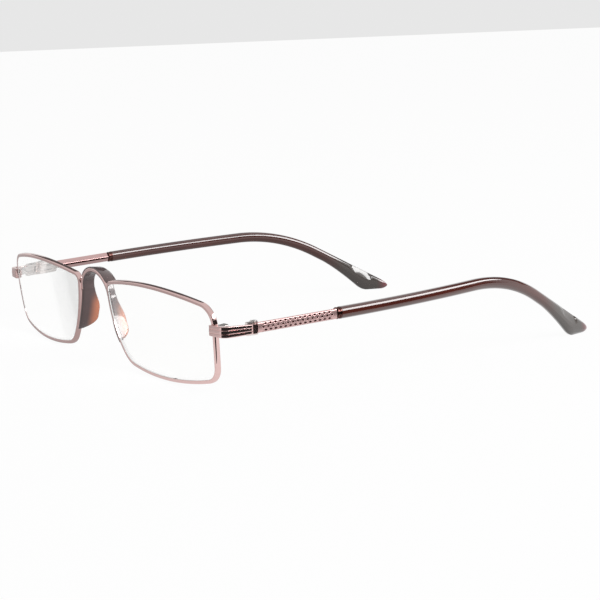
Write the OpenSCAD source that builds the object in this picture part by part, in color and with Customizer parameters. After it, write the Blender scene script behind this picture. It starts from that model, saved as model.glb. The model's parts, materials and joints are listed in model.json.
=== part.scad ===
// Reading glasses with a full-rim metal front, a saddle bridge and folding temples.
// Millimetres. X points to the wearer's left, Y runs from the front to the ears, Z is up.
// The origin is on the table, in the middle of the footprint.

/* [Front] */
// Sideways distance from the bridge to the middle of each lens
lens_x = 37; // [36:0.5:38]
// Lens middle, measured back from the middle of the footprint
lens_y = -68.7; // [-70:0.1:-68]
// Height of the lens middle above the table
lens_z = 13.31; // [13:0.01:14]
// Forward lean of the front, at the top
tilt = 6.4; // [5:0.1:8]
// Sweep of each lens back towards the temple
wrap = 3.6; // [2:0.1:5]
// Radius of the dished surface that the rims follow
base_r = 172; // [150:1:200]

/* [Lens outline] */
// Bottom corner near the nose, sideways from the lens middle
bottom_in_x = -17.8; // [-18.5:0.1:-17]
// Bottom corner near the nose, up from the lens middle
bottom_in_z = -11.1; // [-11.5:0.1:-10.5]
// Bottom corner near the temple, sideways
bottom_out_x = 26.7; // [26:0.1:27.5]
// Bottom corner near the temple, up
bottom_out_z = -10.4; // [-11:0.1:-10]
// Top corner near the temple, sideways
top_out_x = 28.6; // [28:0.1:29]
// Top corner near the temple, up
top_out_z = 9.5; // [9:0.1:10]
// Top corner near the nose, sideways
top_in_x = -27.4; // [-27.8:0.1:-27]
// Top corner near the nose, up
top_in_z = 10.7; // [10.3:0.1:11]
// Outward bulge of the bottom edge
bottom_bulge = 2.1; // [1.5:0.1:2.5]
// Outward bulge of the temple edge
outer_bulge = 0.6; // [0.4:0.1:1]
// Outward bulge of the top edge
top_bulge = 2.9; // [2.5:0.1:3.3]
// Outward bulge of the nose edge
nasal_bulge = 2.5; // [2:0.1:3]
// Rounding of the bottom corner near the nose
bottom_in_r = 8.5; // [7:0.1:10]
// Rounding of the bottom corner near the temple
bottom_out_r = 5.1; // [4:0.1:6]
// Rounding of the top corner near the temple
top_out_r = 5.8; // [5:0.1:7]
// Rounding of the top corner near the nose
top_in_r = 2.6; // [2.2:0.1:3]

/* [Rim wire and lens] */
// Rim wire, seen from the front
wire_w = 1.1; // [1:0.05:1.3]
// Rim wire, front to back
wire_d = 1.4; // [1.3:0.05:1.7]
// Depth of the groove that holds the lens
groove_d = 0.35; // [0.3:0.05:0.4]
// Width of the groove at its mouth
groove_w = 0.7; // [0.6:0.05:0.8]
// Slit where each rim can be opened
rim_slit = 0.2; // [0.15:0.05:0.3]
// Height of the slit above the lens middle
slit_z = 3.8; // [3.4:0.1:4.2]
// Thickness of the lens in its middle
lens_t = 2.2; // [2:0.1:2.4]
// Radius of the flatter back face of the lens
lens_back_r = 276; // [250:1:300]

/* [Bridge and saddle] */
// Half the span of the bridge arch
arch_x = 8.9; // [8.7:0.1:9]
// Rise of the bridge arch
arch_h = 6.9; // [6.4:0.1:7.4]
// Height above the table where the arch starts
arch_z = 19.9; // [19.4:0.1:20.4]
// Reach of the bridge behind the middle of the rims
bridge_back = 0.6; // [0.4:0.1:0.7]
// Bridge wire, seen from the front
bridge_w = 1.1; // [1:0.05:1.2]
// Wall of the saddle at the crown
crown_t = 1.7; // [1.6:0.1:1.9]
// Wall of the saddle at the pads
pad_t = 1.7; // [1.5:0.1:1.8]
// Reach of the crown behind the middle of the bridge wire
crown_back = 3.4; // [3:0.1:4]
// Reach of the pads behind the middle of the rim wire
pad_back = 5.5; // [5:0.1:6]
// Lowest point of the pads above the lens middle
pad_low = -5.8; // [-6.5:0.1:-5]

/* [End pieces] */
// Height of the end piece at the front
end_h = 3; // [2.8:0.1:3.2]
// Height of the end piece at the hinge
end_rear_h = 2.5; // [2.3:0.1:2.7]
// Plate thickness under the ridges
end_t = 0.95; // [0.9:0.05:1]
// Height of the middle ridge
ridge_h = 0.3; // [0.2:0.05:0.35]
// Inner face of the end piece, sideways from the bridge
end_x = 70; // [69.8:0.1:70.2]
// Inside radius of the bend to the temple
end_bend_r = 1.3; // [1.1:0.1:1.6]
// Rake of the front of the end piece
end_rake = 9; // [7:0.5:11]

/* [Hinges] */
// Hinge axis, measured back from the lens middle
hinge_back = 13.5; // [13:0.1:14]
// Height of the hinge middle above the table
hinge_z = 17.6; // [17.4:0.05:17.8]
// Outside radius of the hinge barrels
barrel_r = 1.15; // [1.1:0.05:1.2]
// Height of the three barrels together
barrel_h = 3.6; // [3.4:0.1:3.8]
// Height of the middle barrel
knuckle_h = 1.5; // [1.3:0.1:1.7]
// Radius of the hinge screw
hinge_screw_r = 0.55; // [0.5:0.05:0.6]
// Running clearance of the hinge, on the radius
hinge_gap = 0.03; // [0.02:0.01:0.05]

/* [Temples] */
// Thickness of the metal bar at its ridge
bar_t = 2.2; // [2:0.1:2.4]
// Height of the metal bar
bar_h = 2.9; // [2.7:0.1:3.1]
// Length of the metal bar behind the hinge
bar_l = 24.3; // [23.5:0.1:25]
// Length of the two-ring collar
collar_l = 1.25; // [1.1:0.05:1.5]
// Height of the middle of the bar above the table, at the hinge
bar_z = 17.9; // [17.8:0.05:18.1]
// Rise of the temple towards the ear
rise = 2.75; // [2.5:0.05:3]
// Angle by which the bar points outwards
splay = 2; // [1:0.1:3]
// Drop of the ear end
drop = 29.8; // [28:0.1:31]
// Radius of the ear bend
ear_r = 50; // [46:1:54]
// Corner of the ear bend, measured from the middle of the footprint
ear_y = 32.3; // [31:0.1:34]
// Angle by which the ear end turns towards the head
ear_turn = 16; // [14:0.5:18]
// Radius of that turn
turn_r = 240; // [220:1:260]
// Distance from the collar to the start of that turn
turn_gap = 0.3; // [0.1:0.1:1.5]
// End of the ear tip
tip_y = 70.7; // [70:0.1:72]
// Height of the sleeve
sleeve_h = 3.3; // [3.1:0.05:3.6]
// Thickness of the sleeve
sleeve_t = 3.2; // [3:0.05:3.4]
// Start of the flare under the ear tip
flare_y = 47.7; // [46.5:0.1:49]
// Where the ear tip meets the table
rest_y = 61; // [60:0.1:62]
// Depth of the flare
flare_h = 3.2; // [2.8:0.1:3.6]
// Radius of the core wire in the sleeve
core_r = 0.65; // [0.55:0.05:0.75]

/* [Pressed pattern on the bar] */
// Distance between the pits of a row
pit_pitch = 1.51; // [1.45:0.01:1.65]
// Distance between the rows
pit_row = 0.84; // [0.8:0.01:0.9]
// Length of a pit
pit_l = 1.15; // [1:0.05:1.2]
// Height of a pit
pit_h = 0.68; // [0.5:0.02:0.7]
// Depth of a pit
pit_d = 0.25; // [0.2:0.01:0.3]
// Plain border at each end of the bar
border = 1; // [0.9:0.1:1.5]

/* [Hidden] */

rose_metal = [0.72, 0.56, 0.54];
dark_metal = [0.30, 0.20, 0.19];
screw_metal = [0.80, 0.78, 0.76];
sleeve_brown = [0.24, 0.11, 0.10];
saddle_brown = [0.55, 0.33, 0.27];
clear_lens = [0.93, 0.94, 0.92, 0.35];

// Assembly clearance between pieces that are brazed or clamped together
seat = 0.01;
// Clearance round a sprung-in or pushed-on plastic piece
snug = 0.03;
round_fn = 48;

// The lens outline: four bulging sides joined by rounded corners, counter-clockwise
corner = [[bottom_in_x, bottom_in_z], [bottom_out_x, bottom_out_z], [top_out_x, top_out_z],
    [top_in_x, top_in_z]];
bulge = [bottom_bulge, outer_bulge, top_bulge, nasal_bulge];
fillet = [bottom_in_r, bottom_out_r, top_out_r, top_in_r];
side_steps = [10, 4, 12, 8];
corner_steps = [7, 6, 6, 7];

function heading(from, to) = atan2(to.y - from.y, to.x - from.x);
function onward(a, b) = b < a ? b + 360 : b;

function side_radius(i) =
    let (chord = corner[(i + 1) % 4] - corner[i])
    (chord * chord / 4 + bulge[i] ^ 2) / (2 * bulge[i]);

function side_centre(i) =
    let (from = corner[i], to = corner[(i + 1) % 4], chord = to - from)
    (from + to) / 2 - [chord.y, -chord.x] / norm(chord) * (side_radius(i) - bulge[i]);

// The crossing of two circles that lies nearer to a given point
function crossing(c1, r1, c2, r2, target) =
    let (line = c2 - c1, gap = norm(line), along = (gap ^ 2 + r1 ^ 2 - r2 ^ 2) / (2 * gap),
        foot = c1 + line * along / gap, step = [-line.y, line.x] / gap * sqrt(r1 ^ 2 - along ^ 2))
    norm(foot + step - target) < norm(foot - step - target) ? foot + step : foot - step;

function fillet_centre(i) =
    let (j = (i + 3) % 4)
    crossing(side_centre(j), side_radius(j) - fillet[i], side_centre(i), side_radius(i) - fillet[i],
        corner[i]);

// Stations hold a point of the wire's middle line and the outward direction there
function station(centre, radius, a) = [centre + radius * [cos(a), sin(a)], [cos(a), sin(a)]];
function stations(centre, radius, a, b, steps) =
    [for (k = [0:steps]) station(centre, radius, a + (b - a) * k / steps)];

function side_start(i) = heading(side_centre(i), fillet_centre(i));
function side_end(i) = onward(side_start(i), heading(side_centre(i), fillet_centre((i + 1) % 4)));
function side(i) = stations(side_centre(i), side_radius(i), side_start(i), side_end(i), side_steps[i]);
function rounded(i) =
    let (a = heading(side_centre((i + 3) % 4), fillet_centre(i)), b = onward(a, side_start(i)))
    [for (k = [1:corner_steps[i] - 1])
        station(fillet_centre(i), fillet[i], a + (b - a) * k / corner_steps[i])];

// The station at a given height on the temple edge, or on the rounded corner above it
function on_circle(centre, radius, z) = station(centre, radius, asin((z - centre.y) / radius));
function outer_station(z) =
    z < side_centre(1).y + side_radius(1) * sin(side_end(1))
    ? on_circle(side_centre(1), side_radius(1), z)
    : on_circle(fillet_centre(2), fillet[2], z);

// The wire's middle line runs round the lens from one side of the slit to the other
slit_top = slit_z + rim_slit / 2;
slit_low = slit_z - rim_slit / 2;
slit_margin = 0.3;
slit_at = outer_station(slit_z);
nasal_steps = concat(rounded(3), side(3));
outer_steps = concat(side(1), rounded(2));
rim_line = concat(
    [outer_station(slit_top)],
    [for (s = outer_steps) if (s[0].y > slit_top + slit_margin) s],
    side(2), nasal_steps, rounded(0), side(0), rounded(1),
    [for (s = outer_steps) if (s[0].y < slit_low - slit_margin) s],
    [outer_station(slit_low)]);

// Depth of the dished surface behind its middle, at a point of the lens plane
function dish(p) = base_r - sqrt(base_r ^ 2 - p * p);
// A point beside the rim line: out from the lens, and back from the dished surface
function beside(s, out, back) =
    let (p = s[0] + out * s[1])
    [p.x, dish(p) + back, p.y];
// The same point on the finished frame
function on_frame(q) =
    let (x = q.x * cos(wrap) - q.y * sin(wrap), back = q.x * sin(wrap) + q.y * cos(wrap))
    [lens_x + x, lens_y + back * cos(tilt) - q.z * sin(tilt),
        lens_z + q.z * cos(tilt) + back * sin(tilt)];

module on_lens() {
    translate([lens_x, lens_y, lens_z]) rotate([tilt, 0, 0]) rotate([0, 0, wrap]) children();
}

// A closed skin through rings that all have the same number of points
function sum(values, k = 0) = k == len(values) - 1 ? values[k] : values[k] + sum(values, k + 1);
function middle(ring) = sum(ring) / len(ring);
module loft(rings) {
    n = len(rings[0]);
    last = (len(rings) - 1) * n;
    hub = len(rings) * n;
    walls = [for (i = [0:len(rings) - 2], k = [0:n - 1])
        each let (a = i * n + k, b = i * n + (k + 1) % n) [[a, b, b + n], [a, b + n, a + n]]];
    caps = [for (k = [0:n - 1]) each [[(k + 1) % n, k, hub], [last + k, last + (k + 1) % n, hub + 1]]];
    polyhedron([for (ring = rings) each ring, middle(rings[0]), middle(rings[len(rings) - 1])],
        concat(caps, walls));
}

// Section of the rim wire, with its groove: [out, back]
half_w = wire_w / 2;
half_d = wire_d / 2;
edge = 0.2;
groove_floor = -half_w + groove_d;
wire_section = [
    [-half_w, -half_d + edge / 2], [-half_w, -groove_w / 2], [groove_floor, -groove_w / 4],
    [groove_floor, groove_w / 4], [-half_w, groove_w / 2], [-half_w, half_d - edge / 2],
    [-half_w + edge / 2, half_d], [half_w - edge, half_d], [half_w, half_d - edge],
    [half_w, -half_d + edge], [half_w - edge, -half_d], [-half_w + edge / 2, -half_d]];

module rim() {
    color(rose_metal)
        on_lens()
            loft([for (s = rim_line) [for (q = wire_section) beside(s, q[0], q[1])]]);
}

// The space that a stretch of rim wire takes up, with clearance all round
module wire_space(line, gap) {
    w = half_w + gap;
    d = half_d + gap;
    on_lens()
        loft([for (s = line) [for (q = [[-w, -d], [-w, d], [w, d], [w, -d]]) beside(s, q[0], q[1])]]);
}

// The lens: a thick meniscus with a tongue round its edge that sits in the groove
lens_front = 0.55;
tongue_half = groove_w / 4 - snug;
// The ring of the tongue starts this far inside the rim
tongue_root = 0.3;
sphere_fn = 360;

module lens_blank(out) {
    front = lens_t;
    depth = 6 * lens_t;
    translate([0, depth - front, 0])
        rotate([90, 0, 0])
            linear_extrude(depth) polygon([for (s = rim_line) s[0] + out * s[1]]);
}

module shell_of(back, radius) {
    translate([0, back + radius, 0]) sphere(radius, $fn = sphere_fn);
}

module lens() {
    color(clear_lens)
        on_lens() {
            difference() {
                intersection() {
                    lens_blank(-half_w - seat);
                    shell_of(-lens_front, base_r + lens_front);
                }
                shell_of(lens_t - lens_front, lens_back_r);
            }
            difference() {
                intersection() {
                    lens_blank(groove_floor - 2 * seat);
                    shell_of(-tongue_half, base_r + tongue_half);
                }
                shell_of(tongue_half, base_r - tongue_half);
                lens_blank(-half_w - tongue_root);
            }
        }
}

// The bridge and the saddle's crown follow one arch, in a plane that leans with the front
bridge_y = on_frame(beside(side(3)[0], 0, 0)).y + bridge_back;
arch_steps = 18;
bridge_half = bridge_w / 2;

function arch_point(a) = [arch_x * cos(a), arch_h * sin(a)];
function arch_out(a) =
    let (n = [cos(a) / arch_x, sin(a) / arch_h])
    n / norm(n);
function by_arch(a, out, back) =
    let (p = arch_point(a) + out * arch_out(a))
    [p.x, bridge_y + back * cos(tilt) - p.y * sin(tilt), arch_z + p.y * cos(tilt) + back * sin(tilt)];

module bridge_wire() {
    w = bridge_half;
    d = half_d;
    c = edge;
    section = [[-w, -d + c], [-w, d - c], [c - w, d], [w - c, d], [w, d - c], [w, c - d], [w - c, -d],
        [c - w, -d]];
    loft([for (k = [0:arch_steps]) [for (q = section) by_arch(180 * k / arch_steps, q[0], q[1])]]);
}

module bridge() {
    color(rose_metal)
        difference() {
            bridge_wire();
            wire_space(nasal_steps, seat);
            mirror([1, 0, 0]) wire_space(nasal_steps, seat);
        }
}

// The saddle: a crown that holds the bridge wire in a groove, and two legs behind the rims
// that end as pads. Its sections are [out, back] points, with out away from the nose.
leg_steps = 12;
lip = 0.1;
saddle_front = lip - half_d;
groove_back = half_d + snug;
// The legs reach this far over the back of the rim wire, from its middle
leg_over = 0.35;
leg_mid = pad_t / 2 - leg_over;
function nasal_angle(z) =
    onward(side_start(3), asin((side_centre(3).y - z) / side_radius(3)) - 180);
leg_top_a = nasal_angle((arch_z - lens_z) / cos(tilt));
leg_low_a = nasal_angle(pad_low);
// Share of the leg at which the pad starts to round off
round_from = 0.74;
least_back = groove_back + 0.4;
// The crown sinks towards its back edge, per millimetre
crown_droop = 0.1;
// The legs come forward from the bridge to the rims over this share
shift_share = 0.8;
// The outer lip of the groove fades out between these angles, before the rim's corner
lip_from = 15;
lip_full = 38;

function smooth(t) = let (u = max(0, min(1, t))) u * u * (3 - 2 * u);
function rounding(t) = sqrt(max(0, 1 - max(0, (t - round_from) / (1 - round_from)) ^ 2));
function leg_back(t) = max(least_back,
    (crown_back + (pad_back - crown_back) * smooth(t / 0.55) + half_d) * rounding(t) - half_d);

// lip_share is 1 with a groove that has two lips and 0 where the outer lip is missing
function saddle_section(half_t, back, groove_in, lip_share) =
    let (r = min(0.6, (back - groove_back) / 2), c = min(0.2, half_t / 3),
        front = lip_share * saddle_front + (1 - lip_share) * (groove_back + 0.05),
        groove_out = lip_share * (bridge_half + snug) + (1 - lip_share) * (half_t - 1.5 * c))
    [[-half_t, saddle_front + c], [-half_t, back - r], [-0.7 * half_t, back - r / 4], [0, back],
        [0.7 * half_t, back - r / 4], [half_t, back - r], [half_t, front + c / 2], [half_t - c, front],
        [groove_out, front], [groove_out, groove_back],
        [groove_in, groove_back], [groove_in, saddle_front], [c - half_t, saddle_front]];

function crown_ring(a) =
    let (side_a = min(a, 180 - a), share = smooth((side_a - lip_from) / (lip_full - lip_from)),
        section = saddle_section(crown_t / 2, crown_back, -bridge_half - snug, share))
    [for (q = section) by_arch(a, q[0] - crown_droop * sin(a) * max(0, q[1] - groove_back), q[1])];
function leg_ring(t) =
    let (s = station(side_centre(3), side_radius(3), leg_top_a + (leg_low_a - leg_top_a) * t),
        half_t = pad_t / 2 * (0.5 + 0.5 * rounding(t)),
        shift = bridge_back * (1 - smooth(t / shift_share)))
    [for (q = saddle_section(half_t, leg_back(t), leg_mid - half_w - snug, 0))
        on_frame(beside(s, leg_mid - q[0], q[1] + shift))];
function flipped(ring) = [for (p = ring) [-p.x, p.y, p.z]];

leg_rings = [for (k = [leg_steps:-1:1]) leg_ring(1 - (1 - k / leg_steps) ^ 1.4)];
crown_rings = [for (k = [0:arch_steps]) crown_ring(180 * k / arch_steps)];
other_leg = [for (k = [leg_steps - 1:-1:0]) flipped(leg_rings[k])];

module nose_saddle() {
    color(saddle_brown) loft(concat(leg_rings, crown_rings, other_leg));
}

// The end piece: a ribbed strip that lies on the rim and turns back to the hinge
end_front_x = 64.55;
// Front of the rim where the strip lies on it, measured back from the lens middle
front_back = 3.18;
end_front_y = lens_y + front_back;
hinge_y = lens_y + hinge_back;
joint_y = hinge_y - 0.15;
joint_gap = 0.05;
end_total = end_t + ridge_h;
// The strip lies over this much of the rim wire, and is thinner there, most at the top
rim_reach = 1.45;
seat_top = 0.41;
seat_low = 0.07;
// Ridge profile: height up the strip as a share of the whole, and share of the ridge height
ridge_profile = [[-0.5, 0], [-0.47, 0.35], [-0.38, 0.7], [-0.28, 0.35], [-0.23, 0], [-0.18, 0.5],
    [-0.09, 0.9], [0, 1], [0.09, 0.9], [0.18, 0.5], [0.23, 0], [0.28, 0.35], [0.38, 0.7],
    [0.47, 0.35], [0.5, 0]];

bend_corner_y = end_front_y + (end_x - end_front_x) * tan(end_rake);
bend_run = end_bend_r * tan((90 - end_rake) / 2);
bend_centre = [end_x - end_bend_r, bend_corner_y + bend_run];
end_front_l = (end_x - end_front_x) / cos(end_rake) - bend_run;

// Stops along the strip: [x, y, heading, height, share of the ridges, 1 over the rim, run]
function front_stop(d, h, over_rim = 0) =
    [end_front_x + d * cos(end_rake), end_front_y + d * sin(end_rake), end_rake, h, 1, over_rim, d];
function bend_stop(a) =
    [bend_centre.x + end_bend_r * sin(a), bend_centre.y - end_bend_r * cos(a), a, end_h, 1, 0, 0];
function side_stop(y, ridges) =
    let (t = (y - bend_centre.y) / (joint_y - bend_centre.y))
    [end_x, y, 90, end_h + (end_rear_h - end_h) * smooth(t), ridges, 0, 0];
// The ridges sink into the strip over this length, ahead of the smooth stretch at the joint
ridge_fade = 0.9;
ridge_y = joint_y - 2.2;
bend_angles = [for (k = [0:6]) end_rake + (90 - end_rake) * k / 6];
end_stops = concat(
    [front_stop(0, end_h * 0.84, 1), front_stop(0.3, end_h * 0.97, 1), front_stop(rim_reach, end_h, 1),
        front_stop(rim_reach + seat, end_h), front_stop(2.6, end_h)],
    [for (a = bend_angles) bend_stop(a)],
    [for (k = [1:4]) side_stop(bend_centre.y + (ridge_y - bend_centre.y) * k / 4, 1)],
    [side_stop(ridge_y + ridge_fade / 2, 0.8), side_stop(ridge_y + ridge_fade, 0.1),
        side_stop(joint_y - joint_gap, 0)]);

function end_ring(stop) =
    let (out = [sin(stop[2]), -cos(stop[2])],
        outer = [for (q = ridge_profile) [end_t + q[1] * ridge_h * stop[4], q[0] * stop[3]]],
        relief = stop[5] * stop[6] * tan(end_rake), top = seat_top * stop[5] + relief,
        low = seat_low * stop[5] + relief, inner = [[top, stop[3] / 2], [low, -stop[3] / 2]])
    [for (q = concat(outer, inner)) [stop[0] + q[0] * out.x, stop[1] + q[0] * out.y, hinge_z + q[1]]];

module end_piece() {
    color(rose_metal) loft([for (stop = end_stops) end_ring(stop)]);
}

// The closing blocks: two halves, brazed to the rim's two ends, that one screw pulls together
block_w = 3;
block_front = 0.1;
block_d = 2.45;
block_up = 1.3;
block_down = 1.4;
rim_screw_r = 0.55;
rim_head_r = 0.95;
rim_head_h = 0.35;
// Metal left over the blind end of the screw hole
rim_screw_cover = 0.3;
block_x = slit_at[0].x + half_w + 4 * seat;
block_y = dish(slit_at[0]) + block_front;
rim_screw_x = block_x + block_w / 2;
rim_screw_y = block_y + block_d / 2;

module block_outline() {
    r = block_d / 2;
    translate([block_x, block_y]) square([block_w - r, block_d]);
    translate([block_x + block_w - r, rim_screw_y]) circle(r, $fn = round_fn);
}

module closing_block_upper() {
    color(rose_metal)
        on_lens()
            difference() {
                translate([0, 0, slit_top])
                    linear_extrude(block_up) block_outline();
                translate([rim_screw_x, rim_screw_y, slit_z])
                    cylinder(block_up - rim_screw_cover, r = rim_screw_r + seat, $fn = round_fn);
            }
}

module closing_block_lower() {
    color(rose_metal)
        on_lens()
            difference() {
                translate([0, 0, slit_low - block_down])
                    linear_extrude(block_down) block_outline();
                translate([rim_screw_x, rim_screw_y, slit_z - block_down - 1])
                    cylinder(block_down + 2, r = rim_screw_r + seat, $fn = round_fn);
            }
}

screw_slot_w = 0.3;

module slotted_head(r, h) {
    difference() {
        cylinder(h, r = r, $fn = round_fn);
        translate([-2 * r, -screw_slot_w / 2, h / 2]) cube([4 * r, screw_slot_w, h]);
    }
}

module rim_screw() {
    underside = slit_low - block_down;
    color(screw_metal)
        on_lens()
            translate([rim_screw_x, rim_screw_y, underside - seat]) {
                cylinder(block_down + block_up - rim_screw_cover - 0.05, r = rim_screw_r,
                    $fn = round_fn);
                mirror([0, 0, 1]) slotted_head(rim_head_r, rim_head_h);
            }
}

// The hinges: two outer barrels on the end piece, one middle barrel on the temple, one screw
barrel_sink = 0.05;
hinge_x = end_x - barrel_r - barrel_sink;
leaf_t = 1;
leaf_x = end_x - leaf_t - seat;
front_leaf_l = 4.2;
temple_leaf_l = 6;
leaf_h = 2.3;
// Length of the webs between the front leaf and its two barrels
web_l = 2.4;
sweep_r = barrel_r + 0.12;
knuckle_gap = 0.04;
barrel_low = hinge_z - barrel_h / 2;
knuckle_low = hinge_z - knuckle_h / 2;
hinge_head_r = 0.9;
hinge_head_h = 0.2;

module on_axis(z) {
    translate([hinge_x, hinge_y, z]) children();
}

module front_hinge() {
    outer_h = (barrel_h - knuckle_h) / 2 - knuckle_gap;
    color(rose_metal)
        difference() {
            union() {
                translate([leaf_x, joint_y - front_leaf_l, hinge_z - leaf_h / 2])
                    cube([leaf_t, front_leaf_l - joint_gap, leaf_h]);
                for (z = [barrel_low, hinge_z + barrel_h / 2 - outer_h]) {
                    on_axis(z) cylinder(outer_h, r = barrel_r, $fn = round_fn);
                    translate([hinge_x, hinge_y - web_l - 0.2, z])
                        cube([leaf_x + leaf_t - hinge_x, web_l, outer_h]);
                }
            }
            on_axis(knuckle_low - knuckle_gap)
                cylinder(knuckle_h + 2 * knuckle_gap, r = sweep_r, $fn = round_fn);
            on_axis(barrel_low - 1) cylinder(barrel_h + 2, r = hinge_screw_r + seat, $fn = round_fn);
        }
}

module temple_hinge() {
    color(rose_metal)
        difference() {
            union() {
                translate([leaf_x, hinge_y + 0.1, hinge_z - leaf_h / 2])
                    cube([leaf_t, temple_leaf_l, leaf_h]);
                on_axis(knuckle_low) cylinder(knuckle_h, r = barrel_r, $fn = round_fn);
            }
            for (z = [barrel_low - 1, knuckle_low + knuckle_h])
                on_axis(z) cylinder(knuckle_low - barrel_low + 1, r = sweep_r, $fn = round_fn);
            on_axis(barrel_low) cylinder(barrel_h, r = hinge_screw_r + hinge_gap, $fn = round_fn);
        }
}

module hinge_screw() {
    color(screw_metal)
        on_axis(barrel_low) {
            cylinder(barrel_h + seat, r = hinge_screw_r, $fn = round_fn);
            translate([0, 0, barrel_h + seat]) slotted_head(hinge_head_r, hinge_head_h);
        }
}

// The temple's middle line: it rises and points outwards, turns in towards the head in one long
// curve, and bends down over the ear
bar_half = bar_h / 2;
bar_out = bar_t / 2;
bar_start = joint_y + joint_gap;
bar_end = hinge_y + bar_l;
collar_from = bar_end + bar_half * sin(rise) + bar_out * sin(splay);
sleeve_from = collar_from + collar_l + seat;
turn_y = sleeve_from + turn_gap;
outer_x = end_x + end_total;
temple_x = outer_x - bar_out;
ear_run = ear_r * tan((rise + drop) / 2);
corner_z = bar_z + (ear_y - hinge_y) * tan(rise);
ear_from = ear_y - ear_run * cos(rise);
ear_to = ear_y + ear_run * cos(drop);
ear_centre = [ear_from + ear_r * sin(rise),
    corner_z - (ear_y - ear_from) * tan(rise) - ear_r * cos(rise)];
turn_centre = [temple_x + (turn_y - bar_start) * tan(splay) - turn_r * cos(splay),
    turn_y + turn_r * sin(splay)];
turn_end = turn_centre.y + turn_r * sin(ear_turn);

function line_z(y) =
    y < ear_from ? bar_z + (y - hinge_y) * tan(rise)
    : y < ear_to ? ear_centre.y + sqrt(ear_r ^ 2 - (y - ear_centre.x) ^ 2)
    : corner_z - (y - ear_y) * tan(drop);
function line_x(y) =
    y < turn_y ? temple_x + (y - bar_start) * tan(splay)
    : y < turn_end ? turn_centre.x + sqrt(turn_r ^ 2 - (y - turn_centre.y) ^ 2)
    : turn_centre.x + turn_r * cos(ear_turn) - (y - turn_end) * tan(ear_turn);
function slope(y) = atan2(line_z(y + 0.01) - line_z(y - 0.01), 0.02);

// Section of the metal bar as [x, z]: flat outer face with bevels, roof-shaped inner face
bevel_z = 0.5;
bevel_x = 0.3;
roof_x = 0.9;
roof_z = 0.25;
bar_outline = [[bar_out - bevel_x, -bar_half], [bar_out, -bar_half + bevel_z],
    [bar_out, bar_half - bevel_z], [bar_out - bevel_x, bar_half], [-bar_out + roof_x, bar_half],
    [-bar_out, roof_z], [-bar_out, -roof_z], [-bar_out + roof_x, -bar_half]];
bar_run = bar_end - bar_start;
pits = floor((bar_run - 2 * border - pit_l) / pit_pitch);
first_pit = (bar_run - pits * pit_pitch) / 2;

module along_bar() {
    translate([temple_x, bar_start, line_z(bar_start)]) rotate([rise, 0, -splay]) children();
}

// The rows on the two bevels lie closer to the others
function row_z(row) = row * pit_row * (abs(row) == 2 ? 0.86 : 1);

module pit(y, z) {
    l = pit_l / 2;
    h = pit_h / 2;
    translate([bar_out - pit_d, y, z])
        rotate([90, 0, 90])
            linear_extrude(1) polygon([[l, 0], [0, h], [-l, 0], [0, -h]]);
}

core_from = bar_end - 0.5;
core_end = 57;

// Stops along the ear end, closer together where it bends
function spread(from, to, steps) = [for (k = [0:steps - 1]) from + (to - from) * k / steps];
function core_stops(from, to) = concat(spread(from, turn_y, 2), spread(turn_y, ear_from, 6),
    spread(ear_from, ear_to, 10), spread(ear_to, to, 3), [to]);
function core_ring(y, r) = [for (a = [0:45:315])
    [line_x(y) + r * cos(a), y, line_z(y) + r * sin(a) / cos(slope(y))]];

module core(r, from, to) {
    loft([for (y = core_stops(from, to)) core_ring(y, r)]);
}

module temple_bar() {
    recess_x = end_x + seat;
    leaf_room = 0.6;
    past = 2 * bar_h;
    color(rose_metal) {
        difference() {
            along_bar()
                translate([0, bar_run, 0])
                    rotate([90, 0, 0]) linear_extrude(bar_run + 0.5) polygon(bar_outline);
            translate([temple_x - past, bar_start - past, hinge_z - past])
                cube([2 * past, past, 2 * past]);
            translate([recess_x - past, bar_start - past, hinge_z - past])
                cube([past, past + temple_leaf_l + leaf_room, 2 * past]);
            along_bar()
                for (row = [-2:2], k = [0:pits - abs(row % 2)])
                    pit(first_pit + (k + abs(row % 2) / 2) * pit_pitch, row_z(row));
        }
        core(core_r, core_from, core_end);
    }
}

// The collar: two rings with a neck between them, on the core
function sleeve_outline(w, low, high) =
    let (m = (low + high) / 2, b = 0.27 * (high - low), c = 0.3 * w)
    [[w, m - b / 1.6], [w, m + b / 1.6], [w - c, high - 0.18 * b], [w - 2 * c, high], [2 * c - w, high],
        [c - w, high - 0.18 * b], [-w, m + b / 1.6], [-w, m - b / 1.6], [c - w, low + 0.18 * b],
        [2 * c - w, low], [w - 2 * c, low], [w - c, low + 0.18 * b]];

module collar_ring(from, length, shrink) {
    w = sleeve_t / 2 - shrink;
    h = sleeve_h / 2 - shrink;
    translate([line_x(from), from + length, line_z(from)])
        rotate([90, 0, 0]) linear_extrude(length) polygon(sleeve_outline(w, -h, h));
}

module collar() {
    ring = collar_l * 0.36;
    color(dark_metal)
        difference() {
            union() {
                collar_ring(collar_from, ring, 0.05);
                collar_ring(collar_from + ring, collar_l - 2 * ring, 0.25);
                collar_ring(collar_from + collar_l - ring, ring, 0.05);
            }
            translate([line_x(collar_from - 1), collar_from - 1, line_z(collar_from - 1)])
                rotate([rise - 90, 0, -splay]) cylinder(collar_l + 2, r = core_r + snug, $fn = round_fn);
        }
}

// The sleeve: a bevelled tube that flares under its tip and ends in a round nose
nose_from = tip_y - 2.6;
// Share of its thickness that the sleeve loses towards the tip
tip_thinning = 0.12;
flare_power = 1.6;
// How softly the flare turns into the flat
flat_r = 0.7;
flat_run = 1.5;

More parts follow.
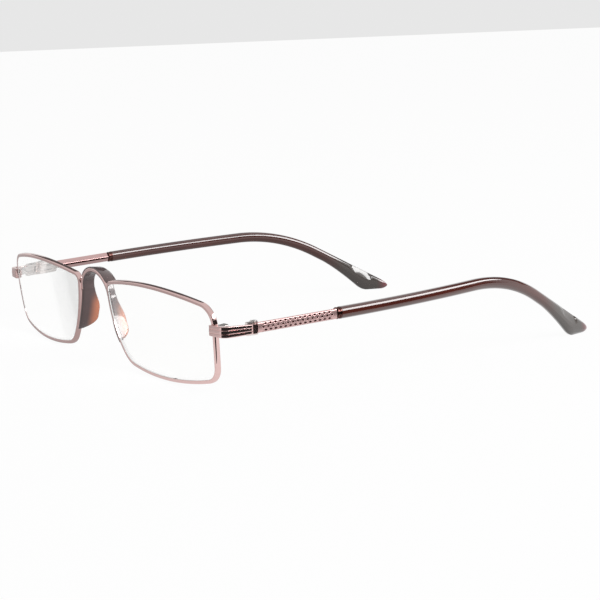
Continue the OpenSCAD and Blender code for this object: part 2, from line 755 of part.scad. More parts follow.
// The underside swells below the plain tube, then rounds off into the flat on the table
function sleeve_low(y) =
    let (flare = flare_h * max(0, (y - flare_y) / (rest_y - flare_y)) ^ flare_power,
        low = line_z(y) - sleeve_h / 2 / cos(slope(y)) - flare)
    low > flat_r ? low : low < -flat_r ? 0 : (low + flat_r) ^ 2 / (4 * flat_r);
function sleeve_high(y) = line_z(y) + sleeve_h / 2 / cos(slope(y));
function nose(y) = y < nose_from ? 1 : sqrt(max(0.04, 1 - ((y - nose_from) / (tip_y - nose_from)) ^ 2));
function sleeve_ring(y) =
    let (low = sleeve_low(y), high = sleeve_high(y), m = (low + high) / 2 + 0.2 * (1 - nose(y)),
        half = (high - low) / 2 * nose(y), thinning = tip_thinning * (y - flare_y) / (tip_y - flare_y),
        w = sleeve_t / 2 * (1 - max(0, thinning)) * nose(y))
    [for (q = sleeve_outline(w, m - half, m + half)) [line_x(y) + q.x, y, q.y]];

sleeve_stops = concat(
    [sleeve_from], spread(turn_y, ear_from, 8), spread(ear_from, flare_y, 12),
    spread(flare_y, rest_y - flat_run, 6), spread(rest_y - flat_run, rest_y + flat_run, 5),
    spread(rest_y + flat_run, nose_from, 2),
    [for (t = [0, 0.3, 0.55, 0.75, 0.9, 0.98, 1]) nose_from + (tip_y - nose_from) * t]);

module temple_sleeve() {
    color(sleeve_brown)
        difference() {
            loft([for (y = sleeve_stops) sleeve_ring(y)]);
            core(core_r + snug, core_from, core_end + 0.3);
        }
}

module rim_left() { rim(); }
module rim_right() { mirror([1, 0, 0]) rim(); }
module lens_left() { lens(); }
module lens_right() { mirror([1, 0, 0]) lens(); }
module end_piece_left() { end_piece(); }
module end_piece_right() { mirror([1, 0, 0]) end_piece(); }
module closing_block_upper_left() { closing_block_upper(); }
module closing_block_upper_right() { mirror([1, 0, 0]) closing_block_upper(); }
module closing_block_lower_left() { closing_block_lower(); }
module closing_block_lower_right() { mirror([1, 0, 0]) closing_block_lower(); }
module rim_screw_left() { rim_screw(); }
module rim_screw_right() { mirror([1, 0, 0]) rim_screw(); }
module front_hinge_left() { front_hinge(); }
module front_hinge_right() { mirror([1, 0, 0]) front_hinge(); }
module hinge_screw_left() { hinge_screw(); }
module hinge_screw_right() { mirror([1, 0, 0]) hinge_screw(); }
module temple_hinge_left() { temple_hinge(); }
module temple_hinge_right() { mirror([1, 0, 0]) temple_hinge(); }
module temple_bar_left() { temple_bar(); }
module temple_bar_right() { mirror([1, 0, 0]) temple_bar(); }
module collar_left() { collar(); }
module collar_right() { mirror([1, 0, 0]) collar(); }
module temple_sleeve_left() { temple_sleeve(); }
module temple_sleeve_right() { mirror([1, 0, 0]) temple_sleeve(); }

rim_left();
rim_right();
lens_left();
lens_right();
bridge();
nose_saddle();
end_piece_left();
end_piece_right();
closing_block_upper_left();
closing_block_upper_right();
closing_block_lower_left();
closing_block_lower_right();
rim_screw_left();
rim_screw_right();
front_hinge_left();
front_hinge_right();
hinge_screw_left();
hinge_screw_right();
temple_hinge_left();
temple_hinge_right();
temple_bar_left();
temple_bar_right();
collar_left();
collar_right();
temple_sleeve_left();
temple_sleeve_right();
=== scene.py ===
# %% [markdown]
# # Reading glasses with a metal front and plastic ear sleeves
#
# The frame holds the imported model: 26 pieces on three bodies, the front and two temples.
# This lesson dresses each of them. Most of them are wires and strips, so they are extruded
# from ring to ring along their own path. Sizes are written in millimetres and turn into
# metres where a mesh is made.

# %% Load the frame
import json
from math import asin, atan2, cos, degrees, pi, radians, sin, sqrt, tan

import bmesh
import bpy
from mathutils import Matrix, Vector


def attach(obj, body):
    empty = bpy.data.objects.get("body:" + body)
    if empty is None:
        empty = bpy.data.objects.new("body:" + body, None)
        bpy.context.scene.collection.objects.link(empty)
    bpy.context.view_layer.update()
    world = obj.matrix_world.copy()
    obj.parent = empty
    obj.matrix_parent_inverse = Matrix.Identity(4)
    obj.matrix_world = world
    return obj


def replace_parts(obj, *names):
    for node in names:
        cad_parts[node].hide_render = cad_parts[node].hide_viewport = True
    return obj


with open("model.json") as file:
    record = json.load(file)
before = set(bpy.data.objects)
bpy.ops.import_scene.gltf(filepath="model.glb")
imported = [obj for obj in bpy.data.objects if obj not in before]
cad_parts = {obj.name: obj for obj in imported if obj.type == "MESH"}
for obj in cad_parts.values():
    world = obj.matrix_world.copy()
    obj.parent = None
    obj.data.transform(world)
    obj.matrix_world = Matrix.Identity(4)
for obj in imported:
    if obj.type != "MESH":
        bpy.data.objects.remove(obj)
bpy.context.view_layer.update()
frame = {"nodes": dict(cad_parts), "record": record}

MM = 0.001

# %% [markdown]
# ## One way to model a wire
#
# A maker draws wire through a die, so its section stays the same all along. A curve with a
# bevel would do that too, but the saddle and the sleeves change their section on the way.
# So each piece starts as a circle primitive with a face in it. That face is extruded once
# for each ring of the path, and its corners are set on the ring. The last face is the other
# end, and the skin is closed. The right side is the left one at a scale of -1, which turns
# the skin inside out, so its normals are recalculated.

# %% Extrude a face from ring to ring
def select_only(*pieces):
    bpy.ops.object.select_all(action="DESELECT")
    for piece in pieces:
        piece.select_set(True)
    bpy.context.view_layer.objects.active = pieces[-1]


def put(face, ring):
    for corner, point in zip(face.verts, ring):
        corner.co = Vector(point) * MM


def face_outwards():
    bpy.ops.object.mode_set(mode="EDIT")
    bpy.ops.mesh.select_all(action="SELECT")
    bpy.ops.mesh.normals_make_consistent(inside=False)
    bpy.ops.object.mode_set(mode="OBJECT")


def extruded(name, rings, crease_angle=40):
    bpy.ops.object.select_all(action="DESELECT")
    bpy.ops.mesh.primitive_circle_add(vertices=len(rings[0]), radius=MM, fill_type="NGON")
    piece = bpy.context.object
    piece.name = piece.data.name = name
    bpy.ops.object.mode_set(mode="EDIT")
    mesh = bmesh.from_edit_mesh(piece.data)
    put(mesh.faces[:][0], rings[0])
    for ring in rings[1:]:
        bpy.ops.mesh.extrude_region_move()
        mesh = bmesh.from_edit_mesh(piece.data)
        put(next(face for face in mesh.faces if face.select), ring)
    bmesh.update_edit_mesh(piece.data)
    face_outwards()
    bpy.ops.object.shade_smooth_by_angle(angle=radians(crease_angle))
    return piece


def mirrored(piece, name):
    select_only(piece)
    bpy.ops.object.duplicate()
    copy = bpy.context.object
    copy.name = copy.data.name = name
    copy.scale.x = -1
    bpy.ops.object.transform_apply(location=False, rotation=False, scale=True)
    face_outwards()
    return copy


def size_mm(piece):
    return [round(v / MM, 1) for v in piece.dimensions]


# %% [markdown]
# ## Rounded sections
#
# Drawn wire and moulded strips have no sharp corners: the light runs round each edge as a
# thin line. So a section is written by its corners, and every corner becomes a short arc.

# %% Round the corners of a section
# An arc takes at most this share of an edge, so two arcs never run into each other
EDGE_SHARE = 0.48


def softened(corners, radii, steps=4):
    ring = []
    if not isinstance(radii, tuple):
        radii = (radii,) * len(corners)
    for k, here in enumerate(corners):
        here = Vector(here)
        before, after = Vector(corners[k - 1]), Vector(corners[(k + 1) % len(corners)])
        reach = min(radii[k], EDGE_SHARE * (before - here).length, EDGE_SHARE * (after - here).length)
        start = here + (before - here).normalized() * reach
        end = here + (after - here).normalized() * reach
        for i in range(steps + 1):
            t = i / steps
            ring.append((1 - t) ** 2 * start + 2 * t * (1 - t) * here + t ** 2 * end)
    return ring


def smooth(t):
    t = min(max(t, 0), 1)
    return t * t * (3 - 2 * t)


def between(start, end, steps):
    return [start + (end - start) * k / steps for k in range(steps)]


# %% [markdown]
# ## The path of the rims
#
# Each lens outline has four bulging sides and four rounded corners. The corners are measured
# from the middle of the lens. A side is an arc through two corners, and a corner is a small
# arc that touches both sides. The outline then lies on a dished surface, leans forward and
# sweeps back, as the glazed front of a pair of glasses does.

# %% Lens outline
LENS_AT = Vector((37, -68.7, 13.31))
TILT, WRAP = radians(6.4), radians(3.6)
DISH_R = 172
CORNERS = [Vector(c) for c in ((-17.8, -11.1), (26.7, -10.4), (28.6, 9.5), (-27.4, 10.7))]
BULGES = (2.1, 0.6, 2.9, 2.5)
FILLETS = (8.5, 5.1, 5.8, 2.6)


def side_radius(i):
    chord = CORNERS[(i + 1) % 4] - CORNERS[i]
    return (chord.length_squared / 4 + BULGES[i] ** 2) / (2 * BULGES[i])


def side_centre(i):
    start, end = CORNERS[i], CORNERS[(i + 1) % 4]
    chord = (end - start).normalized()
    return (start + end) / 2 - Vector((chord.y, -chord.x)) * (side_radius(i) - BULGES[i])


def fillet_centre(i):
    j = (i + 3) % 4
    c1, r1 = side_centre(j), side_radius(j) - FILLETS[i]
    c2, r2 = side_centre(i), side_radius(i) - FILLETS[i]
    line = c2 - c1
    gap = line.length
    along = (gap ** 2 + r1 ** 2 - r2 ** 2) / (2 * gap)
    foot = c1 + line * along / gap
    step = Vector((-line.y, line.x)) / gap * sqrt(r1 ** 2 - along ** 2)
    return min(foot + step, foot - step, key=lambda p: (p - CORNERS[i]).length)


def heading(start, end):
    return atan2(end.y - start.y, end.x - start.x)


def onward(a, b):
    return b + 2 * pi if b < a else b


def station(centre, radius, angle):
    out = Vector((cos(angle), sin(angle)))
    return centre + radius * out, out


def side_angles(i):
    a = heading(side_centre(i), fillet_centre(i))
    return a, onward(a, heading(side_centre(i), fillet_centre((i + 1) % 4)))


def side(i, steps):
    a, b = side_angles(i)
    angles = [a + (b - a) * k / steps for k in range(steps + 1)]
    return [station(side_centre(i), side_radius(i), angle) for angle in angles]


def rounded(i, steps=14):
    a = heading(side_centre((i + 3) % 4), fillet_centre(i))
    b = onward(a, side_angles(i)[0])
    return [station(fillet_centre(i), FILLETS[i], a + (b - a) * k / steps) for k in range(1, steps)]


# %% Walk round the outline, from one side of the rim's slit to the other
SLIT_Z, SLIT = 3.8, 0.2
around = side(1, 40) + rounded(2)
loop = [s for s in around if s[0].y > SLIT_Z + SLIT / 2]
loop += side(2, 44) + rounded(3) + side(3, 30) + rounded(0) + side(0, 40) + rounded(1)
loop += [s for s in around if s[0].y < SLIT_Z - SLIT / 2]
wide, high = [max(s[0][k] for s in loop) - min(s[0][k] for s in loop) for k in (0, 1)]
print("Middle line of the rim wire in mm:", round(wide, 1), "x", round(high, 1))


# %% From the lens plane to the frame
def dish(p):
    return DISH_R - sqrt(DISH_R ** 2 - p.length_squared)


def on_frame(x, back, z):
    turned = Matrix.Rotation(TILT, 3, "X") @ Matrix.Rotation(WRAP, 3, "Z")
    return LENS_AT + turned @ Vector((x, back, z))


def beside(at, out, back):
    p = at[0] + out * at[1]
    return on_frame(p.x, dish(p) + back, p.y)


def on_lens(piece):
    turned = Matrix.Rotation(TILT, 4, "X") @ Matrix.Rotation(WRAP, 4, "Z")
    piece.matrix_world = Matrix.Translation(LENS_AT * MM) @ turned
    select_only(piece)
    bpy.ops.object.transform_apply()
    return piece


print("Middle of the left lens in mm:", [round(v, 2) for v in on_frame(0, 0, 0)])


# %% [markdown]
# ## The rims
#
# A rim is a drawn wire of 1.1 by 1.4 mm with a groove inside that holds the lens. It runs
# once round the lens and ends at a slit behind the end piece, where a screw closes it.

# %% Rim wires
# The radii are those of the inner edges, the groove, the outer back and the outer front edge
WIRE_W, WIRE_D = 1.1, 1.4
INNER_R, GROOVE_R, BACK_EDGE_R, FRONT_EDGE_R = 0.2, 0.05, 0.4, 0.52
GROOVE_D, GROOVE_W = 0.35, 0.7
half_w, half_d = WIRE_W / 2, WIRE_D / 2
groove_floor = GROOVE_D - half_w

wire_section = softened(
    [(-half_w, -half_d), (-half_w, -GROOVE_W / 2), (groove_floor, -GROOVE_W / 4),
     (groove_floor, GROOVE_W / 4), (-half_w, GROOVE_W / 2), (-half_w, half_d),
     (half_w, half_d), (half_w, -half_d)],
    (INNER_R, GROOVE_R, GROOVE_R, GROOVE_R, GROOVE_R, INNER_R, BACK_EDGE_R, FRONT_EDGE_R), 6)
rim_left = extruded("rim_wire_left", [[beside(at, *q) for q in wire_section] for at in loop])
mirrored(rim_left, "rim_wire_right")
print("Rim in mm:", size_mm(rim_left), "faces:", len(rim_left.data.polygons))

# %% [markdown]
# ## The lenses
#
# A reading lens is a meniscus: its front is more curved than its back, so it is thickest in
# its middle. It is cut from a grid that is extruded to a slab. Its two skins are set on the
# two spheres, and a boolean with the lens outline cuts the edge.

# %% Lenses
LENS_T, LENS_FRONT, BACK_R = 2.2, 0.55, 276
BLANK_X, BLANK_Z = 34, 16
CUT_FROM, CUT_TO = -3, 9
SEAT = 0.01


def lens():
    bpy.ops.object.select_all(action="DESELECT")
    bpy.ops.mesh.primitive_grid_add(x_subdivisions=68, y_subdivisions=32, size=2 * MM)
    slab = bpy.context.object
    slab.name = slab.data.name = "lens_left_dressed"
    bpy.ops.object.mode_set(mode="EDIT")
    bpy.ops.mesh.extrude_region_move(TRANSFORM_OT_translate={"value": (0, 0, MM)})
    bpy.ops.object.mode_set(mode="OBJECT")
    for corner in slab.data.vertices:
        p = Vector((corner.co.x / MM * BLANK_X, corner.co.y / MM * BLANK_Z))
        front_r = DISH_R + LENS_FRONT
        if corner.co.z < MM / 2:
            depth = front_r - sqrt(front_r ** 2 - p.length_squared) - LENS_FRONT
        else:
            depth = BACK_R - sqrt(BACK_R ** 2 - p.length_squared) + LENS_T - LENS_FRONT
        corner.co = Vector((p.x, depth, p.y)) * MM
    select_only(slab)
    face_outwards()

    outline = [at[0] - (half_w + SEAT) * at[1] for at in loop]
    cutter = extruded("lens_outline", [[(p.x, y, p.y) for p in outline] for y in (CUT_FROM, CUT_TO)])
    cut = slab.modifiers.new("outline", "BOOLEAN")
    cut.operation = "INTERSECT"
    cut.object = cutter
    select_only(slab)
    bpy.ops.object.modifier_apply(modifier="outline")
    bpy.data.objects.remove(cutter)
    on_lens(slab)
    bpy.ops.object.shade_smooth_by_angle(angle=radians(20))
    return slab


lens_left = lens()
lens_right = mirrored(lens_left, "lens_right_dressed")
print("Lens in mm:", size_mm(lens_left), "faces:", len(lens_left.data.polygons))

# %% [markdown]
# ## The bridge
#
# The bridge is one more wire, bent to a half ellipse and brazed to both rims. Half a torus
# would be round in section, and this wire is deeper than it is thick, so it is extruded like
# the rims.

# %% Bridge arch
ARCH_X, ARCH_H, ARCH_Z = 8.9, 6.9, 19.9
BRIDGE_W, BRIDGE_BACK = 1.1, 0.6
BRIDGE_R, BRIDGE_FRONT_R = 0.3, 0.5
ARCH_STEPS = 60
bridge_y = beside(side(3, 1)[0], 0, 0).y + BRIDGE_BACK


def by_arch(angle, out, back):
    normal = Vector((cos(angle) / ARCH_X, sin(angle) / ARCH_H)).normalized()
    p = Vector((ARCH_X * cos(angle), ARCH_H * sin(angle))) + out * normal
    return Vector((p.x, bridge_y + back * cos(TILT) - p.y * sin(TILT),
                   ARCH_Z + p.y * cos(TILT) + back * sin(TILT)))


bridge_half = BRIDGE_W / 2
bridge_section = softened(
    [(-bridge_half, -half_d), (-bridge_half, half_d), (bridge_half, half_d), (bridge_half, -half_d)],
    (BRIDGE_R, BRIDGE_R, BRIDGE_R, BRIDGE_FRONT_R), 6)
arch_angles = [pi * k / ARCH_STEPS for k in range(ARCH_STEPS + 1)]
bridge = extruded("bridge_wire", [[by_arch(a, *q) for q in bridge_section] for a in arch_angles])
print("Bridge in mm:", size_mm(bridge))

# %% [markdown]
# ## The saddle
#
# One piece of clear brown plastic rests on the nose. Its crown holds the bridge wire in a
# groove. Its two legs run down behind the rims, reach further back and end as rounded pads.
# The section changes all the way: the crown has two lips round the wire, and the legs have
# one, so each ring gets its own section.

# %% The saddle's changing section
# A leg is measured in shares of its length: it is at its full depth from FULL_FROM on, leaves
# the bridge's plane by SHIFT_SHARE and starts to round off at ROUND_FROM
CROWN_T, PAD_T = 1.7, 1.7
CROWN_BACK, PAD_BACK, PAD_LOW = 3.4, 5.5, -5.8
SNUG, LIP, LEG_OVER, LEAST_BACK = 0.03, 0.1, 0.35, 0.4
FULL_FROM, ROUND_FROM, SHIFT_SHARE = 0.55, 0.74, 0.8
saddle_front = LIP - half_d
groove_back = half_d + SNUG
leg_mid = PAD_T / 2 - LEG_OVER


def rounding(t):
    return sqrt(max(0, 1 - max(0, (t - ROUND_FROM) / (1 - ROUND_FROM)) ** 2))


def leg_back(t):
    reach = CROWN_BACK + (PAD_BACK - CROWN_BACK) * smooth(t / FULL_FROM) + half_d
    return max(groove_back + LEAST_BACK, reach * rounding(t) - half_d)


def saddle_section(half_t, back, groove_in, lip_share):
    r = min(0.6, (back - groove_back) / 2)
    c = min(0.2, half_t / 3)
    front = lip_share * saddle_front + (1 - lip_share) * (groove_back + 0.05)
    groove_out = lip_share * (bridge_half + SNUG) + (1 - lip_share) * (half_t - 1.5 * c)
    return softened(
        [(-half_t, saddle_front + c), (-half_t, back - r), (-0.7 * half_t, back - r / 4), (0, back),
         (0.7 * half_t, back - r / 4), (half_t, back - r), (half_t, front + c / 2),
         (half_t - c, front), (groove_out, front), (groove_out, groove_back),
         (groove_in, groove_back), (groove_in, saddle_front), (c - half_t, saddle_front)], 0.3, 2)


# %% Saddle
# Behind the wire the crown droops below and slopes down above. Its outer lip fades in
# between two angles of the arch. Rings crowd towards the end of a leg, where it is round.
CROWN_DROOP, CROWN_SLOPE = 0.1, 0.3
LIP_FROM, LIP_FULL = 15, 38
LEG_STEPS, LEG_CROWDING = 36, 1.4


def nasal_angle(z):
    return onward(side_angles(3)[0], asin((side_centre(3).y - z) / side_radius(3)) - pi)


leg_top, leg_low = nasal_angle((ARCH_Z - LENS_AT.z) / cos(TILT)), nasal_angle(PAD_LOW)


def crown_ring(angle):
    from_foot = min(degrees(angle), 180 - degrees(angle))
    share = smooth((from_foot - LIP_FROM) / (LIP_FULL - LIP_FROM))
    ring = []
    for out, back in saddle_section(CROWN_T / 2, CROWN_BACK, -bridge_half - SNUG, share):
        slant = CROWN_SLOPE if out > 0 else CROWN_DROOP
        ring.append(by_arch(angle, out - slant * sin(angle) * max(0, back - groove_back), back))
    return ring


def leg_ring(t):
    at = station(side_centre(3), side_radius(3), leg_top + (leg_low - leg_top) * t)
    half_t = PAD_T / 2 * (0.5 + 0.5 * rounding(t))
    section = saddle_section(half_t, leg_back(t), leg_mid - half_w - SNUG, 0)
    shift = BRIDGE_BACK * (1 - smooth(t / SHIFT_SHARE))
    return [beside(at, leg_mid - q[0], q[1] + shift) for q in section]


def flipped(ring):
    return [Vector((-p[0], p[1], p[2])) for p in ring]


leg = [leg_ring(1 - (1 - k / LEG_STEPS) ** LEG_CROWDING) for k in range(LEG_STEPS, 0, -1)]
crown = [crown_ring(a) for a in arch_angles]
saddle = extruded("saddle", leg + crown + [flipped(ring) for ring in leg[::-1]], 50)
print("Saddle in mm:", size_mm(saddle))

# %% [markdown]
# ## The end pieces
#
# Each end piece is a ribbed strip. It lies over the rim, turns the corner and runs back to
# the hinge. Three ribs start rounded at the front, follow the bend and sink away before the
# hinge. A curve with a bevel would keep the ribs all along, so the strip is extruded ring by
# ring, and each ring says how far the ribs stand out there.

# %% Path of an end piece
END_H, END_REAR_H, END_T, RIDGE_H = 3, 2.5, 0.95, 0.3
END_X, END_BEND_R, END_RAKE = 70, 1.3, radians(9)
END_FRONT = Vector((64.55, LENS_AT.y + 3.18))
HINGE_Y, HINGE_Z = LENS_AT.y + 13.5, 17.6
JOINT_Y = HINGE_Y - 0.15
JOINT_GAP = 0.05
PLAIN_L = 2.2
RIDGE_END = JOINT_Y - PLAIN_L
SEAT_TOP, SEAT_LOW = 0.41, 0.07
RIM_REACH = 1.45

bend_corner_y = END_FRONT.y + (END_X - END_FRONT.x) * tan(END_RAKE)
bend_run = END_BEND_R * tan((pi / 2 - END_RAKE) / 2)
bend_centre = Vector((END_X - END_BEND_R, bend_corner_y + bend_run))
front_l = (END_X - END_FRONT.x) / cos(END_RAKE) - bend_run
print("Front part of an end piece in mm:", round(front_l, 2))

# %% End pieces
# Three ribs as (middle, half width, share of the rib height), in shares of the strip height.
# A rib's top is flat and its flanks steep, as a power of 6 gives. The edges slope to nothing.
RIBS = ((-0.32, 0.14, 0.8), (0.0, 0.165, 1.0), (0.33, 0.15, 0.8))
RIB_POWER, RIB_STEPS = 6, 96
VALLEY, EDGE_AT, EDGE_FADE = 0.55, 0.47, 0.03
NOSE, NOSE_H = 0.45, 0.84


def rib_height(z):
    for middle, half, high in RIBS:
        if abs(z - middle) < half:
            top = (1 - abs((z - middle) / half) ** RIB_POWER) ** (1 / RIB_POWER)
            return VALLEY + (high - VALLEY) * top
    return VALLEY * (1 - smooth((abs(z) - EDGE_AT) / EDGE_FADE))


def end_ring(x, y, turn, height, ribs, seat_top=0, seat_low=0):
    out = Vector((sin(turn), -cos(turn)))
    zs = [-0.5 + k / RIB_STEPS for k in range(RIB_STEPS + 1)]
    outer = [(END_T + rib_height(z) * RIDGE_H * ribs, z * height) for z in zs]
    inner = [(seat_top, height / 2), (seat_low, -height / 2)]
    return [(x + q[0] * out.x, y + q[0] * out.y, HINGE_Z + q[1]) for q in outer + inner]


def front_ring(d, height=1.0, ribs=1.0):
    relief = d * tan(END_RAKE) if d <= RIM_REACH else 0
    over = 1 if d <= RIM_REACH else 0
    return end_ring(END_FRONT.x + d * cos(END_RAKE), END_FRONT.y + d * sin(END_RAKE), END_RAKE,
                    END_H * height, ribs, SEAT_TOP * over + relief, SEAT_LOW * over + relief)


def side_ring(y, ribs):
    t = (y - bend_centre.y) / (JOINT_Y - bend_centre.y)
    return end_ring(END_X, y, pi / 2, END_H + (END_REAR_H - END_H) * smooth(t), ribs)


def bend_ring(angle):
    return end_ring(bend_centre.x + END_BEND_R * sin(angle), bend_centre.y - END_BEND_R * cos(angle),
                    angle, END_H, 1)


def start_ring(t):
    round_share = sqrt(1 - (1 - t) ** 2)
    return front_ring(NOSE * t, NOSE_H + (1 - NOSE_H) * round_share, round_share)


strip = [start_ring(t) for t in (0, 0.08, 0.2, 0.4, 0.65, 1)]
strip += [front_ring(RIM_REACH), front_ring(RIM_REACH + 0.01), front_ring(front_l * 0.8)]
strip += [bend_ring(END_RAKE + (pi / 2 - END_RAKE) * k / 16) for k in range(17)]
strip += [side_ring(bend_centre.y + (RIDGE_END - bend_centre.y) * k / 8, 1) for k in range(1, 9)]
strip += [side_ring(RIDGE_END + 0.9 * t, sqrt(1 - t ** 2)) for t in (0.2, 0.4, 0.6, 0.8, 0.93, 1)]
strip += [side_ring(JOINT_Y - JOINT_GAP, 0)]
end_left = extruded("ribbed_end_left", strip, 30)
mirrored(end_left, "ribbed_end_right")
print("End piece in mm:", size_mm(end_left), "faces:", len(end_left.data.polygons))

# %% [markdown]
# ## The temple's path
#
# Seen from the side, a temple rises a little, then bends down over the ear. Seen from above,
# the bar points outwards a little, and the sleeve turns in towards the head in one long curve.
# Two formulas give the height and the distance from the middle, so the bar, its core wire,
# the collar and the sleeve all follow one line.

# %% Temple path
BAR_T, BAR_H, BAR_L, BAR_Z = 2.2, 2.9, 24.3, 17.9
RISE, SPLAY, DROP, EAR_R, EAR_Y = radians(2.75), radians(2), radians(29.8), 50, 32.3
EAR_TURN, TURN_R, TURN_GAP = radians(16), 240, 0.3
COLLAR_L = 1.25
TIP_Y = 70.7

bar_half, bar_out = BAR_H / 2, BAR_T / 2
bar_start, bar_end = JOINT_Y + JOINT_GAP, HINGE_Y + BAR_L
collar_from = bar_end + bar_half * sin(RISE) + bar_out * sin(SPLAY)
sleeve_from = collar_from + COLLAR_L + SEAT
turn_y = sleeve_from + TURN_GAP
temple_x = END_X + END_T + RIDGE_H - bar_out
ear_run = EAR_R * tan((RISE + DROP) / 2)
corner_z = BAR_Z + (EAR_Y - HINGE_Y) * tan(RISE)
ear_from, ear_to = EAR_Y - ear_run * cos(RISE), EAR_Y + ear_run * cos(DROP)
ear_centre = Vector((ear_from + EAR_R * sin(RISE),
                     corner_z - (EAR_Y - ear_from) * tan(RISE) - EAR_R * cos(RISE)))
turn_centre = Vector((temple_x + (turn_y - bar_start) * tan(SPLAY) - TURN_R * cos(SPLAY),
                      turn_y + TURN_R * sin(SPLAY)))
turn_end = turn_centre.y + TURN_R * sin(EAR_TURN)


def line_z(y):
    if y < ear_from:
        return BAR_Z + (y - HINGE_Y) * tan(RISE)
    if y < ear_to:
        return ear_centre.y + sqrt(EAR_R ** 2 - (y - ear_centre.x) ** 2)
    return corner_z - (y - EAR_Y) * tan(DROP)


def line_x(y):
    if y < turn_y:
        return temple_x + (y - bar_start) * tan(SPLAY)
    if y < turn_end:
        return turn_centre.x + sqrt(TURN_R ** 2 - (y - turn_centre.y) ** 2)
    return turn_centre.x + TURN_R * cos(EAR_TURN) - (y - turn_end) * tan(EAR_TURN)


def slope(y):
    return atan2(line_z(y + 0.01) - line_z(y - 0.01), 0.02)


print("Ear bend from y", round(ear_from, 1), "to", round(ear_to, 1), "mm")


# %% [markdown]
# ## The temple bars
#
# The outside of each bar is rolled with rows of small pits, which leave a woven look. The
# inside is roof-shaped and plain, and a dark line is painted along its ridge, a painted dark
# reflection. A bump in the material would stay flat at the edges, so the pits are real: the
# bar is extruded in steps of about 0.12 mm, and each ring sinks where a pit lies. An
# attribute keeps the depth for the dark finish in the pits, and marks the ridge for the
# painted line. The bar's first stretch is thinner, where the hinge leaf lies behind it.

# %% The pattern of pits
# The pattern keeps clear of both ends. Its outer rows lie closer in and fade at the edge.
PIT_PITCH, PIT_ROW, PIT_L, PIT_H, PIT_D = 1.51, 0.84, 1.3, 0.84, 0.25
BORDER, LAST_PIT_L = 1, 1.15
OUTER_ROW, WALL_SLOPE = 0.86, 1.25
FADE_FROM, FADE_H = 1.05, 0.3
bar_run = bar_end - bar_start
pits = int((bar_run - 2 * BORDER - LAST_PIT_L) // PIT_PITCH)
first_pit = (bar_run - pits * PIT_PITCH) / 2


def pit_depth(y, z):
    deepest = 0
    for row in range(-2, 3):
        shift = 0.5 * (row % 2)
        k = round((y - first_pit) / PIT_PITCH - shift)
        if not 0 <= k <= pits - row % 2:
            continue
        row_z = row * PIT_ROW * (OUTER_ROW if abs(row) == 2 else 1)
        reach = abs(y - first_pit - (k + shift) * PIT_PITCH) / (PIT_L / 2)
        reach += abs(z - row_z) / (PIT_H / 2)
        deepest = max(deepest, smooth(WALL_SLOPE * (1 - reach)))
    return deepest * (1 - smooth((abs(z) - FADE_FROM) / FADE_H))


print("Pits in a row:", pits + 1)

# %% Temple bars
FACE_R, EDGE_FROM, EDGE_X, ROOF_X, ROOF_Z = 5, 1.1, 0.3, 0.9, 0.25
LEAF_RECESS = 6.6
BAR_STEP, FACE_STEPS = 0.12, 40
# Half the height of the band along the inner ridge that gets a painted dark line, a painted reflection
PAINTED_LINE_HALF = 0.22
face_zs = [bar_half * (2 * k / FACE_STEPS - 1) for k in range(FACE_STEPS + 1)]
inside = softened([(-bar_out + ROOF_X, bar_half), (-bar_out, ROOF_Z), (-bar_out, -ROOF_Z),
                   (-bar_out + ROOF_X, -bar_half)], 0.2, 3)


def face_x(z):
    over = max(0, abs(z) - EDGE_FROM) / (bar_half - EDGE_FROM)
    return bar_out - (FACE_R - sqrt(FACE_R ** 2 - z ** 2)) - EDGE_X * over ** 2


def along_bar(x, run, z):
    run = max(run, (x * tan(SPLAY) + z * sin(RISE)) / cos(RISE))
    ahead = run * cos(RISE) - z * sin(RISE)
    return Vector((temple_x + x * cos(SPLAY) + ahead * sin(SPLAY),
                   bar_start - x * sin(SPLAY) + ahead * cos(SPLAY),
                   line_z(bar_start) + run * sin(RISE) + z * cos(RISE)))


def bar_ring(run):
    outside = [(face_x(z) - PIT_D * pit_depth(run, z), z) for z in face_zs]
    ring = [along_bar(q[0], run, q[1]) for q in outside + inside[4:]]
    if run <= LEAF_RECESS:
        ring = [Vector((max(p.x, END_X + SEAT), p.y, p.z)) for p in ring]
    return ring


bar_runs = between(0, LEAF_RECESS, int(LEAF_RECESS / BAR_STEP)) + [LEAF_RECESS]
bar_runs += between(LEAF_RECESS + 0.001, bar_run, int((bar_run - LEAF_RECESS) / BAR_STEP)) + [bar_run]
bar_left = extruded("patterned_bar_left", [bar_ring(run) for run in bar_runs], 60)
print("Bar in mm:", size_mm(bar_left), "faces:", len(bar_left.data.polygons))

# %% Mark the pits, the rolled face and the painted dark line on the inner ridge
pit = bar_left.data.attributes.new("pit", "FLOAT", "POINT")
rolled = bar_left.data.attributes.new("rolled", "FLOAT", "POINT")
corner = 0
for run in bar_runs:
    for k in range(len(face_zs) + len(inside) - 4):
        # The band along the inner ridge is marked for a painted dark line, a painted reflection; no groove
        # is cut there
        on_painted_line = k >= len(face_zs) and abs(inside[k - len(face_zs) + 4][1]) < PAINTED_LINE_HALF
        pit.data[corner].value = pit_depth(run, face_zs[k]) if k < len(face_zs) else float(on_painted_line)
        rolled.data[corner].value = float(0 < k < len(face_zs) - 1)
        corner += 1
bar_right = mirrored(bar_left, "patterned_bar_right")

# %% [markdown]
# ## The core wires
#
# A plastic sleeve alone would break at the ear, so a round wire runs inside it, on which the
# sleeve can be bent to fit. A plain cylinder couldn't follow the bend, so this wire is
# extruded along the temple's line too.

# %% Core wires
CORE_R, CORE_END, CORE_OVERLAP = 0.65, 57, 0.5


def core_ring(y):
    angles = [pi * k / 8 for k in range(16)]
    return [(line_x(y) + CORE_R * cos(a), y, line_z(y) + CORE_R * sin(a) / cos(slope(y))) for a in angles]


core_ys = between(bar_end - CORE_OVERLAP, ear_from, 14) + between(ear_from, ear_to, 20)
core_ys += between(ear_to, CORE_END, 5) + [CORE_END]
core_left = extruded("core_wire_left", [core_ring(y) for y in core_ys])
mirrored(core_left, "core_wire_right")
print("Core wire in mm:", size_mm(core_left))

